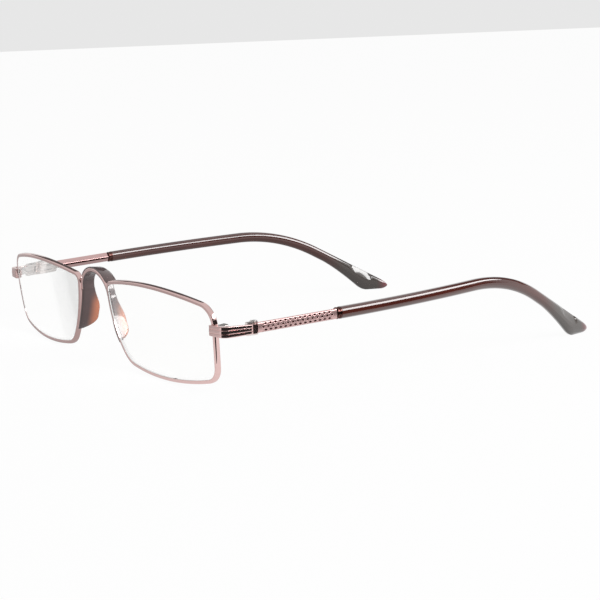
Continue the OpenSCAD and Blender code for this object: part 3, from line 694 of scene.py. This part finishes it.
# %% [markdown]
# ## Collars and sleeves
#
# Two small rings sit on the core wire in front of each ear sleeve. The sleeve is moulded with
# wide bevels, which carry its long highlights. It follows the temple's path, flares under its
# tip and ends in a round nose. Its lowest stretch rests on the table, so it is flat there.

# %% Collars
SLEEVE_H, SLEEVE_T = 3.3, 3.2


# The corners are shares of the half width w and of the height h. From 5.3 to 6.1 mm of
# height, towards the tip, t turns the wide upper bevel into a narrower crest.
def sleeve_outline(w, low, high, radius=0.18, steps=3):
    m, h = (low + high) / 2, high - low
    t = smooth((h - 5.3) / 0.8)
    right_side = [(0.31 * w, low), (0.69 * w, m - 0.38 * h), (w, m - 0.13 * h),
                  (w, m + (0.17 - 0.1 * t) * h),
                  ((0.8 - 0.25 * t) * w, m + (0.37 - 0.04 * t) * h),
                  ((0.31 - 0.15 * t) * w, high)]
    return softened(right_side + [(-x, z) for x, z in right_side[::-1]], radius, steps)


def collar_ring(along, shrink):
    y = collar_from + COLLAR_L * along
    half = SLEEVE_H / 2 - shrink
    return [(line_x(y) + q[0], y, line_z(y) + q[1])
            for q in sleeve_outline(SLEEVE_T / 2 - shrink, -half, half)]


# Each ring of the collar as (share of its length, how far it stands in)
COLLAR_RINGS = ((0, 0.13), (0.05, 0.05), (0.3, 0.05), (0.36, 0.13), (0.38, 0.25),
                (0.62, 0.25), (0.64, 0.13), (0.7, 0.05), (0.95, 0.05), (1, 0.13))
collar_left = extruded("collar_rings_left", [collar_ring(*q) for q in COLLAR_RINGS], 30)
mirrored(collar_left, "collar_rings_right")
print("Collar in mm:", size_mm(collar_left))

# %% Sleeves
FLARE_Y, REST_Y, FLARE_H, FLARE_POWER, FLAT_R = 47.7, 61, 3.2, 1.6, 1.7
NOSE_L, NOSE_LEAST, NOSE_LIFT, THINNING = 2.6, 0.04, 0.2, 0.12
nose_from = TIP_Y - NOSE_L


def sleeve_low(y):
    flare = FLARE_H * max(0, (y - FLARE_Y) / (REST_Y - FLARE_Y)) ** FLARE_POWER
    low = line_z(y) - SLEEVE_H / 2 / cos(slope(y)) - flare
    if low > FLAT_R:
        return low
    return 0 if low < -FLAT_R else (low + FLAT_R) ** 2 / (4 * FLAT_R)


def nose(y):
    if y < nose_from:
        return 1
    return sqrt(max(NOSE_LEAST, 1 - ((y - nose_from) / (TIP_Y - nose_from)) ** 2))


def sleeve_ring(y):
    low, high = sleeve_low(y), line_z(y) + SLEEVE_H / 2 / cos(slope(y))
    m = (low + high) / 2 + NOSE_LIFT * (1 - nose(y))
    half = (high - low) / 2 * nose(y)
    thinning = max(0, THINNING * (y - FLARE_Y) / (TIP_Y - FLARE_Y))
    w = SLEEVE_T / 2 * (1 - thinning) * nose(y)
    return [(line_x(y) + q[0], y, q[1]) for q in sleeve_outline(w, m - half, m + half)]


sleeve_ys = [sleeve_from] + between(turn_y, ear_from, 22)
sleeve_ys += between(ear_from, ear_to, 30) + between(ear_to, FLARE_Y, 4)
sleeve_ys += between(FLARE_Y, nose_from, 68)
sleeve_ys += [nose_from + (TIP_Y - nose_from) * sin(pi / 2 * k / 16) for k in range(17)]
sleeve_left = extruded("ear_sleeve_left", [sleeve_ring(y) for y in sleeve_ys], 50)
mirrored(sleeve_left, "ear_sleeve_right")
print("Sleeve in mm:", size_mm(sleeve_left), "faces:", len(sleeve_left.data.polygons))

# %% [markdown]
# ## Small hardware
#
# Small blocks, barrels and screws are turned and milled, so boxes and rods are the natural
# start. A boolean joins or drills them, and a bevel breaks every edge as tumbling does.

# %% Boxes, rods, cuts and broken edges
def boxed(low, high):
    bpy.ops.object.select_all(action="DESELECT")
    bpy.ops.mesh.primitive_cube_add(size=2)
    piece = bpy.context.object
    for corner in piece.data.vertices:
        corner.co = [(h if c > 0 else l) * MM for c, l, h in zip(corner.co, low, high)]
    return piece


def rod(x, y, low, high, radius):
    bpy.ops.object.select_all(action="DESELECT")
    bpy.ops.mesh.primitive_cylinder_add(vertices=64, radius=radius * MM, depth=(high - low) * MM,
                                        location=(x * MM, y * MM, (low + high) / 2 * MM))
    bpy.ops.object.transform_apply()
    return bpy.context.object


def combine(piece, others, operation):
    for other in others:
        step = piece.modifiers.new("step", "BOOLEAN")
        step.operation, step.object = operation, other
        select_only(piece)
        bpy.ops.object.modifier_apply(modifier="step")
        bpy.data.objects.remove(other)
    return piece


def eased(name, piece, width):
    piece.name = piece.data.name = name
    edge = piece.modifiers.new("edge", "BEVEL")
    edge.width, edge.segments = width * MM, 3
    edge.limit_method, edge.angle_limit = "ANGLE", radians(40)
    edge.use_clamp_overlap = True
    select_only(piece)
    bpy.ops.object.modifier_apply(modifier="edge")
    bpy.ops.object.shade_smooth_by_angle(angle=radians(35))
    return piece


# %% [markdown]
# ## Closing blocks
#
# Behind each end piece two blocks are brazed to the two ends of the rim. A screw from below
# pulls them together, and the rim closes round the lens. Their outer ends are round, so each
# starts from an extruded outline and is drilled. The upper hole stops inside the block.

# %% Closing blocks and their screws
BLOCK_W, BLOCK_D, BLOCK_UP, BLOCK_DOWN = 3, 2.45, 1.3, 1.4
BLOCK_GAP, BLOCK_BACK, BLOCK_EDGE = 0.04, 0.1, 0.08
SCREW_R, HEAD_R, HEAD_H, SLOT_W, SCREW_EDGE = 0.55, 0.95, 0.35, 0.3, 0.06
HOLE_SKIN, SHANK_SKIN, SHANK_OVERLAP = 0.3, 0.35, 0.02
slit_angle = asin((SLIT_Z - side_centre(1).y) / side_radius(1))
slit_at = station(side_centre(1), side_radius(1), slit_angle)[0]
block_x, block_y = slit_at.x + half_w + BLOCK_GAP, dish(slit_at) + BLOCK_BACK
hole_x, hole_y = block_x + BLOCK_W / 2, block_y + BLOCK_D / 2
slit_low, slit_top = SLIT_Z - SLIT / 2, SLIT_Z + SLIT / 2


def block(name, low, high, drill_to):
    r = BLOCK_D / 2
    end = [(block_x + BLOCK_W - r + r * cos(a), hole_y + r * sin(a))
           for a in [pi * (k / 32 - 0.5) for k in range(33)]]
    outline = [(block_x, block_y + BLOCK_D), (block_x, block_y)] + end
    piece = extruded(name, [[(x, y, z) for x, y in outline] for z in (low, high)])
    drill = rod(hole_x, hole_y, SLIT_Z - BLOCK_DOWN - 1, drill_to, SCREW_R + SEAT)
    return on_lens(eased(name, combine(piece, [drill], "DIFFERENCE"), BLOCK_EDGE))


def slotted(name, piece, x, y, low, high, edge):
    slot = boxed((x - 2, y - SLOT_W / 2, low), (x + 2, y + SLOT_W / 2, high))
    return eased(name, combine(piece, [slot], "DIFFERENCE"), edge)


block_up_left = block("closing_block_top_left", slit_top, slit_top + BLOCK_UP,
                      SLIT_Z + BLOCK_UP - HOLE_SKIN)
block_down_left = block("closing_block_bottom_left", slit_low - BLOCK_DOWN, slit_low, SLIT_Z + 1)
under = slit_low - BLOCK_DOWN - SEAT
shank = rod(hole_x, hole_y, under - SHANK_OVERLAP, under + BLOCK_UP + BLOCK_DOWN - SHANK_SKIN, SCREW_R)
head = rod(hole_x, hole_y, under - HEAD_H, under, HEAD_R)
head = combine(head, [shank], "UNION")
rim_screw_left = on_lens(slotted("closing_screw_left", head, hole_x, hole_y,
                                 under - 2 * HEAD_H, under - HEAD_H / 2, SCREW_EDGE))
print("Upper block in mm:", size_mm(block_up_left), "screw:", size_mm(rim_screw_left))

# %% [markdown]
# ## Hinges
#
# A hinge has two outer barrels on the front and one between them on the temple, with a
# slotted screw through all three. Each leaf is one milled piece, so its parts are joined by a
# boolean. Then the room in which the other leaf turns is cut out of it, so the temple folds
# without touching.

# %% Front leaves with the two outer barrels
BARREL_R, BARREL_H, KNUCKLE_H, HINGE_GAP = 1.15, 3.6, 1.5, 0.03
LEAF_T, LEAF_H, FRONT_LEAF_L, TEMPLE_LEAF_L, WEB_L, WEB_GAP = 1, 2.3, 4.2, 6, 2.4, 0.2
BARREL_GAP, KNUCKLE_GAP, SWEEP_R = 0.05, 0.04, BARREL_R + 0.12
hinge_x = END_X - BARREL_R - BARREL_GAP
leaf_x = END_X - LEAF_T - SEAT
barrel_low, barrel_top = HINGE_Z - BARREL_H / 2, HINGE_Z + BARREL_H / 2
knuckle_low, knuckle_top = HINGE_Z - KNUCKLE_H / 2, HINGE_Z + KNUCKLE_H / 2
leaf_low, leaf_top = HINGE_Z - LEAF_H / 2, HINGE_Z + LEAF_H / 2
outer_h = (BARREL_H - KNUCKLE_H) / 2 - KNUCKLE_GAP
web_from, web_to = HINGE_Y - WEB_L - WEB_GAP, HINGE_Y - WEB_GAP

parts = []
for low in (barrel_low, barrel_top - outer_h):
    parts.append(rod(hinge_x, HINGE_Y, low, low + outer_h, BARREL_R))
    parts.append(boxed((hinge_x, web_from, low), (leaf_x + LEAF_T, web_to, low + outer_h)))
leaf = boxed((leaf_x, JOINT_Y - FRONT_LEAF_L, leaf_low), (leaf_x + LEAF_T, JOINT_Y - JOINT_GAP, leaf_top))
leaf = combine(leaf, parts, "UNION")
sweep = rod(hinge_x, HINGE_Y, knuckle_low - KNUCKLE_GAP, knuckle_top + KNUCKLE_GAP, SWEEP_R)
bore = rod(hinge_x, HINGE_Y, barrel_low - 1, barrel_top + 1, SCREW_R + SEAT)
leaf = combine(leaf, [sweep, bore], "DIFFERENCE")
front_hinge_left = eased("hinge_leaf_front_left", leaf, BLOCK_EDGE)
print("Front leaf in mm:", size_mm(front_hinge_left))

# %% Temple leaves with the middle barrel
LEAF_START = 0.1
leaf_from = HINGE_Y + LEAF_START
leaf = boxed((leaf_x, leaf_from, leaf_low), (leaf_x + LEAF_T, leaf_from + TEMPLE_LEAF_L, leaf_top))
leaf = combine(leaf, [rod(hinge_x, HINGE_Y, knuckle_low, knuckle_top, BARREL_R)], "UNION")
cuts = [rod(hinge_x, HINGE_Y, barrel_low - 1, knuckle_low, SWEEP_R),
        rod(hinge_x, HINGE_Y, knuckle_top, barrel_top + 1, SWEEP_R),
        rod(hinge_x, HINGE_Y, barrel_low, barrel_top, SCREW_R + HINGE_GAP)]
temple_hinge_left = eased("hinge_leaf_temple_left", combine(leaf, cuts, "DIFFERENCE"), BLOCK_EDGE)
print("Temple leaf in mm:", size_mm(temple_hinge_left))

# %% Hinge screws, and the right side of all small pieces
PIN_HEAD_R, PIN_HEAD_H, PIN_OVERLAP, PIN_EDGE = 0.9, 0.2, 0.03, 0.04
head_low = barrel_top + SEAT
head_top = head_low + PIN_HEAD_H
pin = rod(hinge_x, HINGE_Y, barrel_low, barrel_top + PIN_OVERLAP, SCREW_R)
pin = combine(pin, [rod(hinge_x, HINGE_Y, head_low, head_top, PIN_HEAD_R)], "UNION")
hinge_screw_left = slotted("hinge_pin_left", pin, hinge_x, HINGE_Y,
                           head_low + PIN_HEAD_H / 2, barrel_top + 1, PIN_EDGE)
for piece in (block_up_left, block_down_left, rim_screw_left,
              front_hinge_left, temple_hinge_left, hinge_screw_left):
    mirrored(piece, piece.name.replace("_left", "_right"))
    print(piece.name, "faces:", len(piece.data.polygons))

# %% [markdown]
# ## Pieces, bodies and slots
#
# The temples turn, so every piece rides on the body it belongs to: the front, or one of the
# two temples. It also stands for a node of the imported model, which then isn't shown, and
# takes that node's material slot. Left and right pieces are named alike, so one function
# finds both.

# %% Each new piece rides on its body and stands for its node
def pair(stem, body, node):
    rows = []
    for side in ("_left", "_right"):
        rows.append((bpy.data.objects[stem + side], body if body == "front" else body + side, node + side))
    return rows


FINISHES = {
    "rose_metal": pair("rim_wire", "front", "rim") + [(bridge, "front", "bridge")]
                  + pair("ribbed_end", "front", "end_piece")
                  + pair("patterned_bar", "temple", "temple_bar")
                  + pair("core_wire", "temple", "temple_bar"),
    "clear_lens": [(lens_left, "front", "lens_left"), (lens_right, "front", "lens_right")],
    "saddle_plastic": [(saddle, "front", "nose_saddle")],
    "dark_metal": pair("collar_rings", "temple", "collar"),
    "sleeve_plastic": pair("ear_sleeve", "temple", "temple_sleeve"),
    "bare_metal": pair("closing_block_top", "front", "closing_block_upper")
                  + pair("closing_block_bottom", "front", "closing_block_lower")
                  + pair("hinge_leaf_front", "front", "front_hinge")
                  + pair("hinge_leaf_temple", "temple", "temple_hinge"),
    "screw_steel": pair("closing_screw", "front", "rim_screw") + pair("hinge_pin", "front", "hinge_screw"),
}
slots = {part["node"]: part["material_slot"] for part in frame["record"]["subparts"]}
for slot, rows in FINISHES.items():
    for piece, body, node in rows:
        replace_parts(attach(piece, body), node)
        if slots[node] != slot:
            print("Slot differs from the packed model:", node)
print("Nodes that still show:", [n for n, node in frame["nodes"].items() if not node.hide_render])

# %% [markdown]
# ## Finishes
#
# Colours are written as the hex values that a paint chart uses, and one function turns them
# into the linear values that Blender mixes light with. A pattern's scale comes from how many
# of its grains lie in a length in millimetres. It reads Object coordinates, so it stays on
# the piece when a temple folds.

# %% Colour, pattern and node helpers
def linear(hex_colour):
    values = [int(hex_colour[k:k + 2], 16) / 255 for k in (1, 3, 5)]
    return [v / 12.92 if v <= 0.04045 else ((v + 0.055) / 1.055) ** 2.4 for v in values] + [1]


def grains(count, length):
    return count / (length * MM)


def add(tree, kind, links=(), **settings):
    node = tree.nodes.new(kind)
    for name, value in settings.items():
        if hasattr(node, name):
            setattr(node, name, value)
        else:
            node.inputs[name.replace("_", " ")].default_value = value
    for socket, source in links:
        tree.links.new(source, node.inputs[socket])
    return node


def finish(name, **settings):
    material = bpy.data.materials.new(name)
    material.use_nodes = True
    tree = material.node_tree
    surface = tree.nodes["Principled BSDF"]
    for key, value in settings.items():
        surface.inputs[key.replace("_", " ")].default_value = value
    return material, tree, surface


def two_toned(tree, first, second, scale, detail):
    place = add(tree, "ShaderNodeTexCoord").outputs["Object"]
    grain = add(tree, "ShaderNodeTexNoise", [("Vector", place)], Scale=scale, Detail=detail)
    tone = add(tree, "ShaderNodeMix", [("Factor", grain.outputs["Fac"])], data_type="RGBA",
               A=linear(first), B=linear(second))
    return grain.outputs["Fac"], tone.outputs["Result"]


# %% [markdown]
# ## Plated and bare metal
#
# The wires are plated in rose bronze and polished. Such a surface shows little of its own
# colour: it mirrors the room with a warm tint, so it turns from white to nearly black along
# a bend. The small hardware is nickel silver and steel left satin, which spreads the same
# reflections into a pale grey, and the collars are plated dark brown. All are one metal
# shader with a faint grain. The marks of real polishing are too fine to show here, so the
# grain is drawn about 1.1 mm wide.

# %% Metals
METAL_GRAIN = grains(9, 10)
ROUGH_SPREAD = 0.2


def plated(name, colour, shade, roughness):
    material, tree, surface = finish(name, Metallic=1.0)
    grain, tone = two_toned(tree, shade, colour, METAL_GRAIN, 3.0)
    rough = add(tree, "ShaderNodeMapRange", [("Value", grain)],
                To_Min=roughness * (1 - ROUGH_SPREAD), To_Max=roughness * (1 + ROUGH_SPREAD))
    tree.links.new(tone, surface.inputs["Base Color"])
    tree.links.new(rough.outputs["Result"], surface.inputs["Roughness"])
    return material


rose = plated("rose_bronze_plating", "#e8c8c4", "#e0bebb", 0.08)
pale = plated("pale_nickel_silver", "#f2ebe8", "#e6dcd8", 0.26)
steel = plated("turned_screw_steel", "#e2e1df", "#cfcecc", 0.24)
dark = plated("dark_bronze_plating", "#6b4a46", "#5a3c38", 0.2)
print("Metals:", [metal.name for metal in (rose, pale, steel, dark)])

# %% [markdown]
# ## The rolled pattern
#
# The rolled face of the bar is matt, and a dark finish stays in its pits when the plating is
# wiped, which draws the pattern. The same dark colour is painted along the inner ridge as a
# painted dark reflection. The two attributes that were stored on the bar say where the pits,
# the painted line and the rolled face are, so the colour follows the shape exactly. An image
# of the pattern would have to be lined up with it.

# %% Rolled face with dark pits and a painted dark line on the inner ridge
DARK_COLOUR_AT = 0.3
SMOOTH_SIDE, ROLLED_FACE = 0.09, 0.36
patterned, tree, surface = finish("rolled_rose_bronze", Metallic=1.0)
tone = two_toned(tree, "#d4b0ae", "#e0bcba", METAL_GRAIN, 3.0)[1]
# The attribute holds the pit depth, and 1 along the inner ridge for the painted dark reflection line
depth = add(tree, "ShaderNodeAttribute", attribute_name="pit")
sharper = add(tree, "ShaderNodeMapRange", [("Value", depth.outputs["Fac"])], From_Max=DARK_COLOUR_AT)
face = add(tree, "ShaderNodeAttribute", attribute_name="rolled")
matt = add(tree, "ShaderNodeMapRange", [("Value", face.outputs["Fac"])],
           To_Min=SMOOTH_SIDE, To_Max=ROLLED_FACE)
dark_pit_and_line = add(tree, "ShaderNodeMix", [("Factor", sharper.outputs["Result"]), ("A", tone)],
             data_type="RGBA", B=linear("#3a1e1c"))
tree.links.new(matt.outputs["Result"], surface.inputs["Roughness"])
tree.links.new(dark_pit_and_line.outputs["Result"], surface.inputs["Base Color"])
print("Rolled finish nodes:", len(tree.nodes))

# %% [markdown]
# ## Ear sleeves
#
# The sleeves are red-brown acetate, polished until the surface mirrors like lacquer, so the
# shader has a clear coat over a dark colour. Acetate is mixed from soft clouds of two tones.
# Towards the tip the colour is painted greyer and then redder: the grey is a painted
# reflection of the table on the lower facets, and the red is painted light that gets through
# the thin tip. That could be done with real transmission, but a tint along the length is
# steadier and renders faster.

# %% Polished acetate
# Each painted tint as (where it starts and where it is full, in mm behind the middle, colour):
# first the painted grey reflection, then the painted red light at the tip
PAINTED_TIP_LIGHT = ((46, 56, "#47403c"), (66, 70.5, "#7c4248"))
POLISH = {"Coat_Weight": 1.0, "Coat_Roughness": 0.04}
sleeve_finish, tree, surface = finish("polished_acetate", Roughness=0.1, IOR=1.5, **POLISH)
before = two_toned(tree, "#3a1713", "#58261c", grains(6, 100), 2.0)[1]
place = add(tree, "ShaderNodeTexCoord").outputs["Object"]
along = add(tree, "ShaderNodeSeparateXYZ", [(0, place)]).outputs["Y"]
for start, end, colour in PAINTED_TIP_LIGHT:
    share = add(tree, "ShaderNodeMapRange", [("Value", along)], interpolation_type="SMOOTHSTEP",
                From_Min=start * MM, From_Max=end * MM)
    tint = add(tree, "ShaderNodeMix", [("Factor", share.outputs["Result"]), ("A", before)],
               data_type="RGBA", B=linear(colour))
    before = tint.outputs["Result"]
tree.links.new(before, surface.inputs["Base Color"])
print("Sleeve finish nodes:", len(tree.nodes))

# %% [markdown]
# ## The saddle's plastic
#
# The saddle is a lighter acetate that lets some light through. Its pads glow orange at their
# rear edges, and that glow is painted into the colour. A share of transmission gives the
# depth, and two ramps, one to the rear and one downwards, are multiplied to place the painted
# glow.

# %% Translucent acetate
# Spans in mm over which the painted orange glow of light through the pads grows, to the rear and downwards
GLOW_TO_REAR, GLOW_DOWNWARDS = (-66.8, -63.5), (19.5, 14.5)
saddle_finish, tree, surface = finish("translucent_brown_acetate", Roughness=0.15, IOR=1.49,
                                      Transmission_Weight=0.25, **POLISH)
place = add(tree, "ShaderNodeTexCoord").outputs["Object"]
axes = add(tree, "ShaderNodeSeparateXYZ", [(0, place)])
ramps = []
for axis, (start, end) in (("Y", GLOW_TO_REAR), ("Z", GLOW_DOWNWARDS)):
    ramp = add(tree, "ShaderNodeMapRange", [("Value", axes.outputs[axis])],
               interpolation_type="SMOOTHSTEP", From_Min=start * MM, From_Max=end * MM)
    ramps.append(ramp.outputs["Result"])
painted_glow = add(tree, "ShaderNodeMath", [(0, ramps[0]), (1, ramps[1])], operation="MULTIPLY")
tone = add(tree, "ShaderNodeMix", [("Factor", painted_glow.outputs[0])], data_type="RGBA",
           A=linear("#604a4a"), B=linear("#dd8a66"))
tree.links.new(tone.outputs["Result"], surface.inputs["Base Color"])
print("Saddle finish nodes:", len(tree.nodes))

# %% [markdown]
# ## The lenses' resin
#
# Reading lenses are cast in clear resin, perfectly smooth and almost without colour. A shadow
# ray stops at a refracting surface, so the lens would throw a dark shadow. For shadow rays it
# is therefore fully transparent.

# %% Clear resin
lens_finish, tree, surface = finish("clear_lens_resin", Roughness=0.0, IOR=1.5, Transmission_Weight=1.0)
tree.links.new(two_toned(tree, "#ffffff", "#fefefd", grains(1, 25), 1.0)[1], surface.inputs["Base Color"])
clear = add(tree, "ShaderNodeBsdfTransparent")
path = add(tree, "ShaderNodeLightPath")
mix = add(tree, "ShaderNodeMixShader", [("Fac", path.outputs["Is Shadow Ray"]),
                                        (1, surface.outputs["BSDF"]), (2, clear.outputs["BSDF"])])
tree.links.new(mix.outputs["Shader"], tree.nodes["Material Output"].inputs["Surface"])
print("Lens finish nodes:", len(tree.nodes))


# %% Give every piece its finish
def dress(piece, material):
    piece.data.materials.clear()
    piece.data.materials.append(material)


SLOT_FINISH = {"rose_metal": rose, "bare_metal": pale, "dark_metal": dark, "screw_steel": steel,
               "clear_lens": lens_finish, "saddle_plastic": saddle_finish,
               "sleeve_plastic": sleeve_finish}
for slot, rows in FINISHES.items():
    for piece, body, node in rows:
        dress(piece, SLOT_FINISH[slot])
for piece in (bar_left, bar_right):
    dress(piece, patterned)
print("Dressed pieces:", sum(len(rows) for rows in FINISHES.values()))

# %% [markdown]
# ## The white table
#
# The glasses stand on a white sheet. A plain white floor would show the lamp's falloff, so
# the camera sees the floor mostly as an even glow of strength 1, which is white, and a small
# share of real paper keeps a faint shadow. Light Path tells which kind of ray arrives, so
# glass gets the same white. For polished metal the glow is painted darker to one side, a
# painted falloff of light on the table. Light that goes through a lens counts as glossy too,
# so transmission is taken off again. A lens with no roughness sends out singular rays, which
# tells its reflections from those of the metal.

# %% What kind of ray arrives
SHOWN_RAYS = ("Is Camera Ray", "Is Glossy Ray", "Is Transmission Ray")
LENS_RAYS = ("Is Transmission Ray", "Is Singular Ray")


def seen_by(tree, *rays):
    path = add(tree, "ShaderNodeLightPath")
    total = path.outputs[rays[0]]
    for ray in rays[1:]:
        either = add(tree, "ShaderNodeMath", [(0, total), (1, path.outputs[ray])], operation="MAXIMUM")
        total = either.outputs[0]
    return total


# %% Floor
FLOOR_SIZE, FLOOR_DROP = 6, 0.05
# Over this span in mm the glow that glossy rays see is painted darker, a painted falloff of light
DARKENS_FROM, DARKENS_TO, DARKEST = -20, 70, 0.5
GLOW_SHARE = 0.96
bpy.ops.object.select_all(action="DESELECT")
bpy.ops.mesh.primitive_plane_add(size=FLOOR_SIZE, location=(0, 0, -FLOOR_DROP * MM))
floor = bpy.context.object
floor.name = "floor"
material = bpy.data.materials.new("white_paper_sweep")
material.use_nodes = True
tree = material.node_tree
tree.nodes.clear()
paper = add(tree, "ShaderNodeBsdfDiffuse", Color=linear("#e8e8e8"))
place = add(tree, "ShaderNodeTexCoord").outputs["Object"]
across = add(tree, "ShaderNodeSeparateXYZ", [(0, place)])
painted_falloff = add(tree, "ShaderNodeMapRange", [("Value", across.outputs["X"])],
             From_Min=DARKENS_FROM * MM, From_Max=DARKENS_TO * MM, To_Min=DARKEST, To_Max=1.0)
glossy = add(tree, "ShaderNodeLightPath").outputs["Is Glossy Ray"]
on_metal = add(tree, "ShaderNodeMath", [(0, glossy), (1, seen_by(tree, *LENS_RAYS))],
               operation="SUBTRACT", use_clamp=True)
strength = add(tree, "ShaderNodeMix", [("Factor", on_metal.outputs[0]), ("B", painted_falloff.outputs["Result"])],
               data_type="FLOAT", A=1.0)
glow = add(tree, "ShaderNodeEmission", [("Strength", strength.outputs["Result"])], Color=(1, 1, 1, 1))
share = add(tree, "ShaderNodeMath", [(0, seen_by(tree, *SHOWN_RAYS))], operation="MULTIPLY")
share.inputs[1].default_value = GLOW_SHARE
both = add(tree, "ShaderNodeMixShader", [(0, share.outputs[0]), (1, paper.outputs[0]), (2, glow.outputs[0])])
add(tree, "ShaderNodeOutputMaterial", [("Surface", both.outputs[0])])
floor.data.materials.append(material)
print("Floor", FLOOR_SIZE, "m wide,", FLOOR_DROP, "mm below the glasses")

# %% [markdown]
# ## The room
#
# The world keeps Blender's default colour, a light grey of 0.8. The camera sees that grey
# above the far edge of the floor, and so do reflections. A colour of 1 would make it white.
# As light on the object the world has 0.4 of its strength, so colours don't wash out.

# %% World
WORLD_LIGHT = 0.4
world = bpy.data.worlds.new("studio")
bpy.context.scene.world = world
world.use_nodes = True
tree = world.node_tree
tree.nodes.clear()
level = add(tree, "ShaderNodeMapRange", [("Value", seen_by(tree, *SHOWN_RAYS))],
            To_Min=WORLD_LIGHT, To_Max=1.0)
sky = add(tree, "ShaderNodeBackground", [("Strength", level.outputs["Result"])])
add(tree, "ShaderNodeOutputWorld", [("Surface", sky.outputs[0])])
print("World light:", WORLD_LIGHT)

# %% [markdown]
# ## The window
#
# One softbox, wide and not high, stands in for a window. It gives the shadow its direction,
# and a long shape leaves long highlights on the sleeves where a round lamp would leave spots.

# %% The window softbox
def towards(azimuth, elevation, distance):
    a, e = radians(azimuth), radians(elevation)
    return Vector((cos(a) * cos(e), sin(a) * cos(e), sin(e))) * distance


def softbox(name, place, aim, width, height, watts):
    bpy.ops.object.light_add(type="AREA", location=place)
    lamp = bpy.context.object
    lamp.name = name
    lamp.data.shape = "RECTANGLE"
    lamp.data.size, lamp.data.size_y = width, height
    lamp.data.energy = watts
    lamp.rotation_euler = (Vector(aim) - Vector(place)).to_track_quat("-Z", "Y").to_euler()
    return lamp


window = softbox("window_softbox", towards(36, 36, 1.0), (0, 0, 0.02), 1.4, 0.28, 11)
print("Window at", [round(v, 2) for v in window.location], "with", window.data.energy, "W")


# %% [markdown]
# ## Flags
#
# In an evenly lit room a polished wire has no edges. So dark cloths, which photographers call
# flags, stand around the table where only reflections reach them: the camera, the diffuse
# light and the shadows pass them by, and so do the rays of the lenses. They draw the dark
# lines along the wires. Each is a grid whose two rows are set on the cloth's two edges.

# %% Black and grey cloths that only the polished faces see
def flag(name, level, low_edge, high_edge):
    bpy.ops.object.select_all(action="DESELECT")
    bpy.ops.mesh.primitive_grid_add(x_subdivisions=len(low_edge) - 1, y_subdivisions=1, size=2)
    card = bpy.context.object
    card.name = name
    for corner, place in zip(card.data.vertices, low_edge + high_edge):
        corner.co = place
    card.visible_camera = card.visible_diffuse = card.visible_transmission = card.visible_shadow = False
    cloth = bpy.data.materials.new(name + "_cloth")
    cloth.use_nodes = True
    tree = cloth.node_tree
    tree.nodes.clear()
    shade = add(tree, "ShaderNodeEmission", Strength=level)
    unseen = add(tree, "ShaderNodeBsdfTransparent")
    both = add(tree, "ShaderNodeMixShader", [(0, seen_by(tree, *LENS_RAYS)),
                                             (1, shade.outputs[0]), (2, unseen.outputs[0])])
    add(tree, "ShaderNodeOutputMaterial", [("Surface", both.outputs[0])])
    card.data.materials.append(cloth)


WALL_R, WALL_STEPS = 0.8, 24


def wall(name, level, start, end, low, high):
    turns = [start + (end - start) * k / WALL_STEPS for k in range(WALL_STEPS + 1)]
    flag(name, level, [towards(a, low, WALL_R) for a in turns], [towards(a, high, WALL_R) for a in turns])


# Each wall by its level, then its angles round the glasses and above the table, in degrees
wall("camera_side_flag", 0.03, -68, 58, 0.1, 20)
wall("far_side_flag", 0.12, 148, 203, 15, 50)
wall("rear_flag", 0.1, 80, 125, 14, 52)

# One more lies just above the table, outside the left temple. Its two edges are in metres.
TABLE_Z = 0.0004
TABLE_EDGE = [(0.066, -0.4), (0.066, -0.079), (0.08, -0.072), (0.128, -0.062), (0.132, -0.02),
              (0.135, 0.05), (0.14, 0.12), (0.15, 0.2)]
TABLE_FAR = [(0.3, -1.3), (0.8, -1.0), (1.2, -0.7), (1.3, -0.4), (1.3, -0.1), (1.3, 0.3),
             (1.2, 0.7), (1.0, 1.0)]
flag("table_flag", 0.03, [(x, y, TABLE_Z) for x, y in TABLE_EDGE], [(x, y, TABLE_Z) for x, y in TABLE_FAR])

# %% [markdown]
# ## The camera
#
# The camera looks at the glasses from their left and a little above. Its direction, distance
# and focal length were fitted to the outlines of the rims and temples. The focal length is
# known in pixels of a picture 600 wide, and a sensor 36 mm wide turns it into millimetres.

# %% Camera
AZIMUTH, ELEVATION, ROLL = radians(58.75), radians(9.422), radians(-1.431)
DISTANCE, FOCAL_PX = 0.576954, 1865.246
SENSOR_W, PICTURE_PX = 36, 600
TARGET = Vector((5.41, -2.176, 11.177)) * MM
back = Vector((sin(AZIMUTH) * cos(ELEVATION), -cos(AZIMUTH) * cos(ELEVATION), sin(ELEVATION)))
right = Vector((cos(AZIMUTH), sin(AZIMUTH), 0))
up = back.cross(right)
rolled_right = right * cos(ROLL) + up * sin(ROLL)
rolled_up = up * cos(ROLL) - right * sin(ROLL)
bpy.ops.object.camera_add()
camera = bpy.context.object
camera.name = "photo_camera"
camera.data.sensor_width = SENSOR_W
camera.data.lens = SENSOR_W * FOCAL_PX / PICTURE_PX
turn = Matrix((rolled_right, rolled_up, back)).transposed().to_4x4()
camera.matrix_world = Matrix.Translation(TARGET + back * DISTANCE) @ turn
camera.data.clip_start = 0.01
bpy.context.scene.camera = camera
bpy.context.scene.view_settings.view_transform = "Standard"
print("Camera at", [round(v, 3) for v in camera.location])
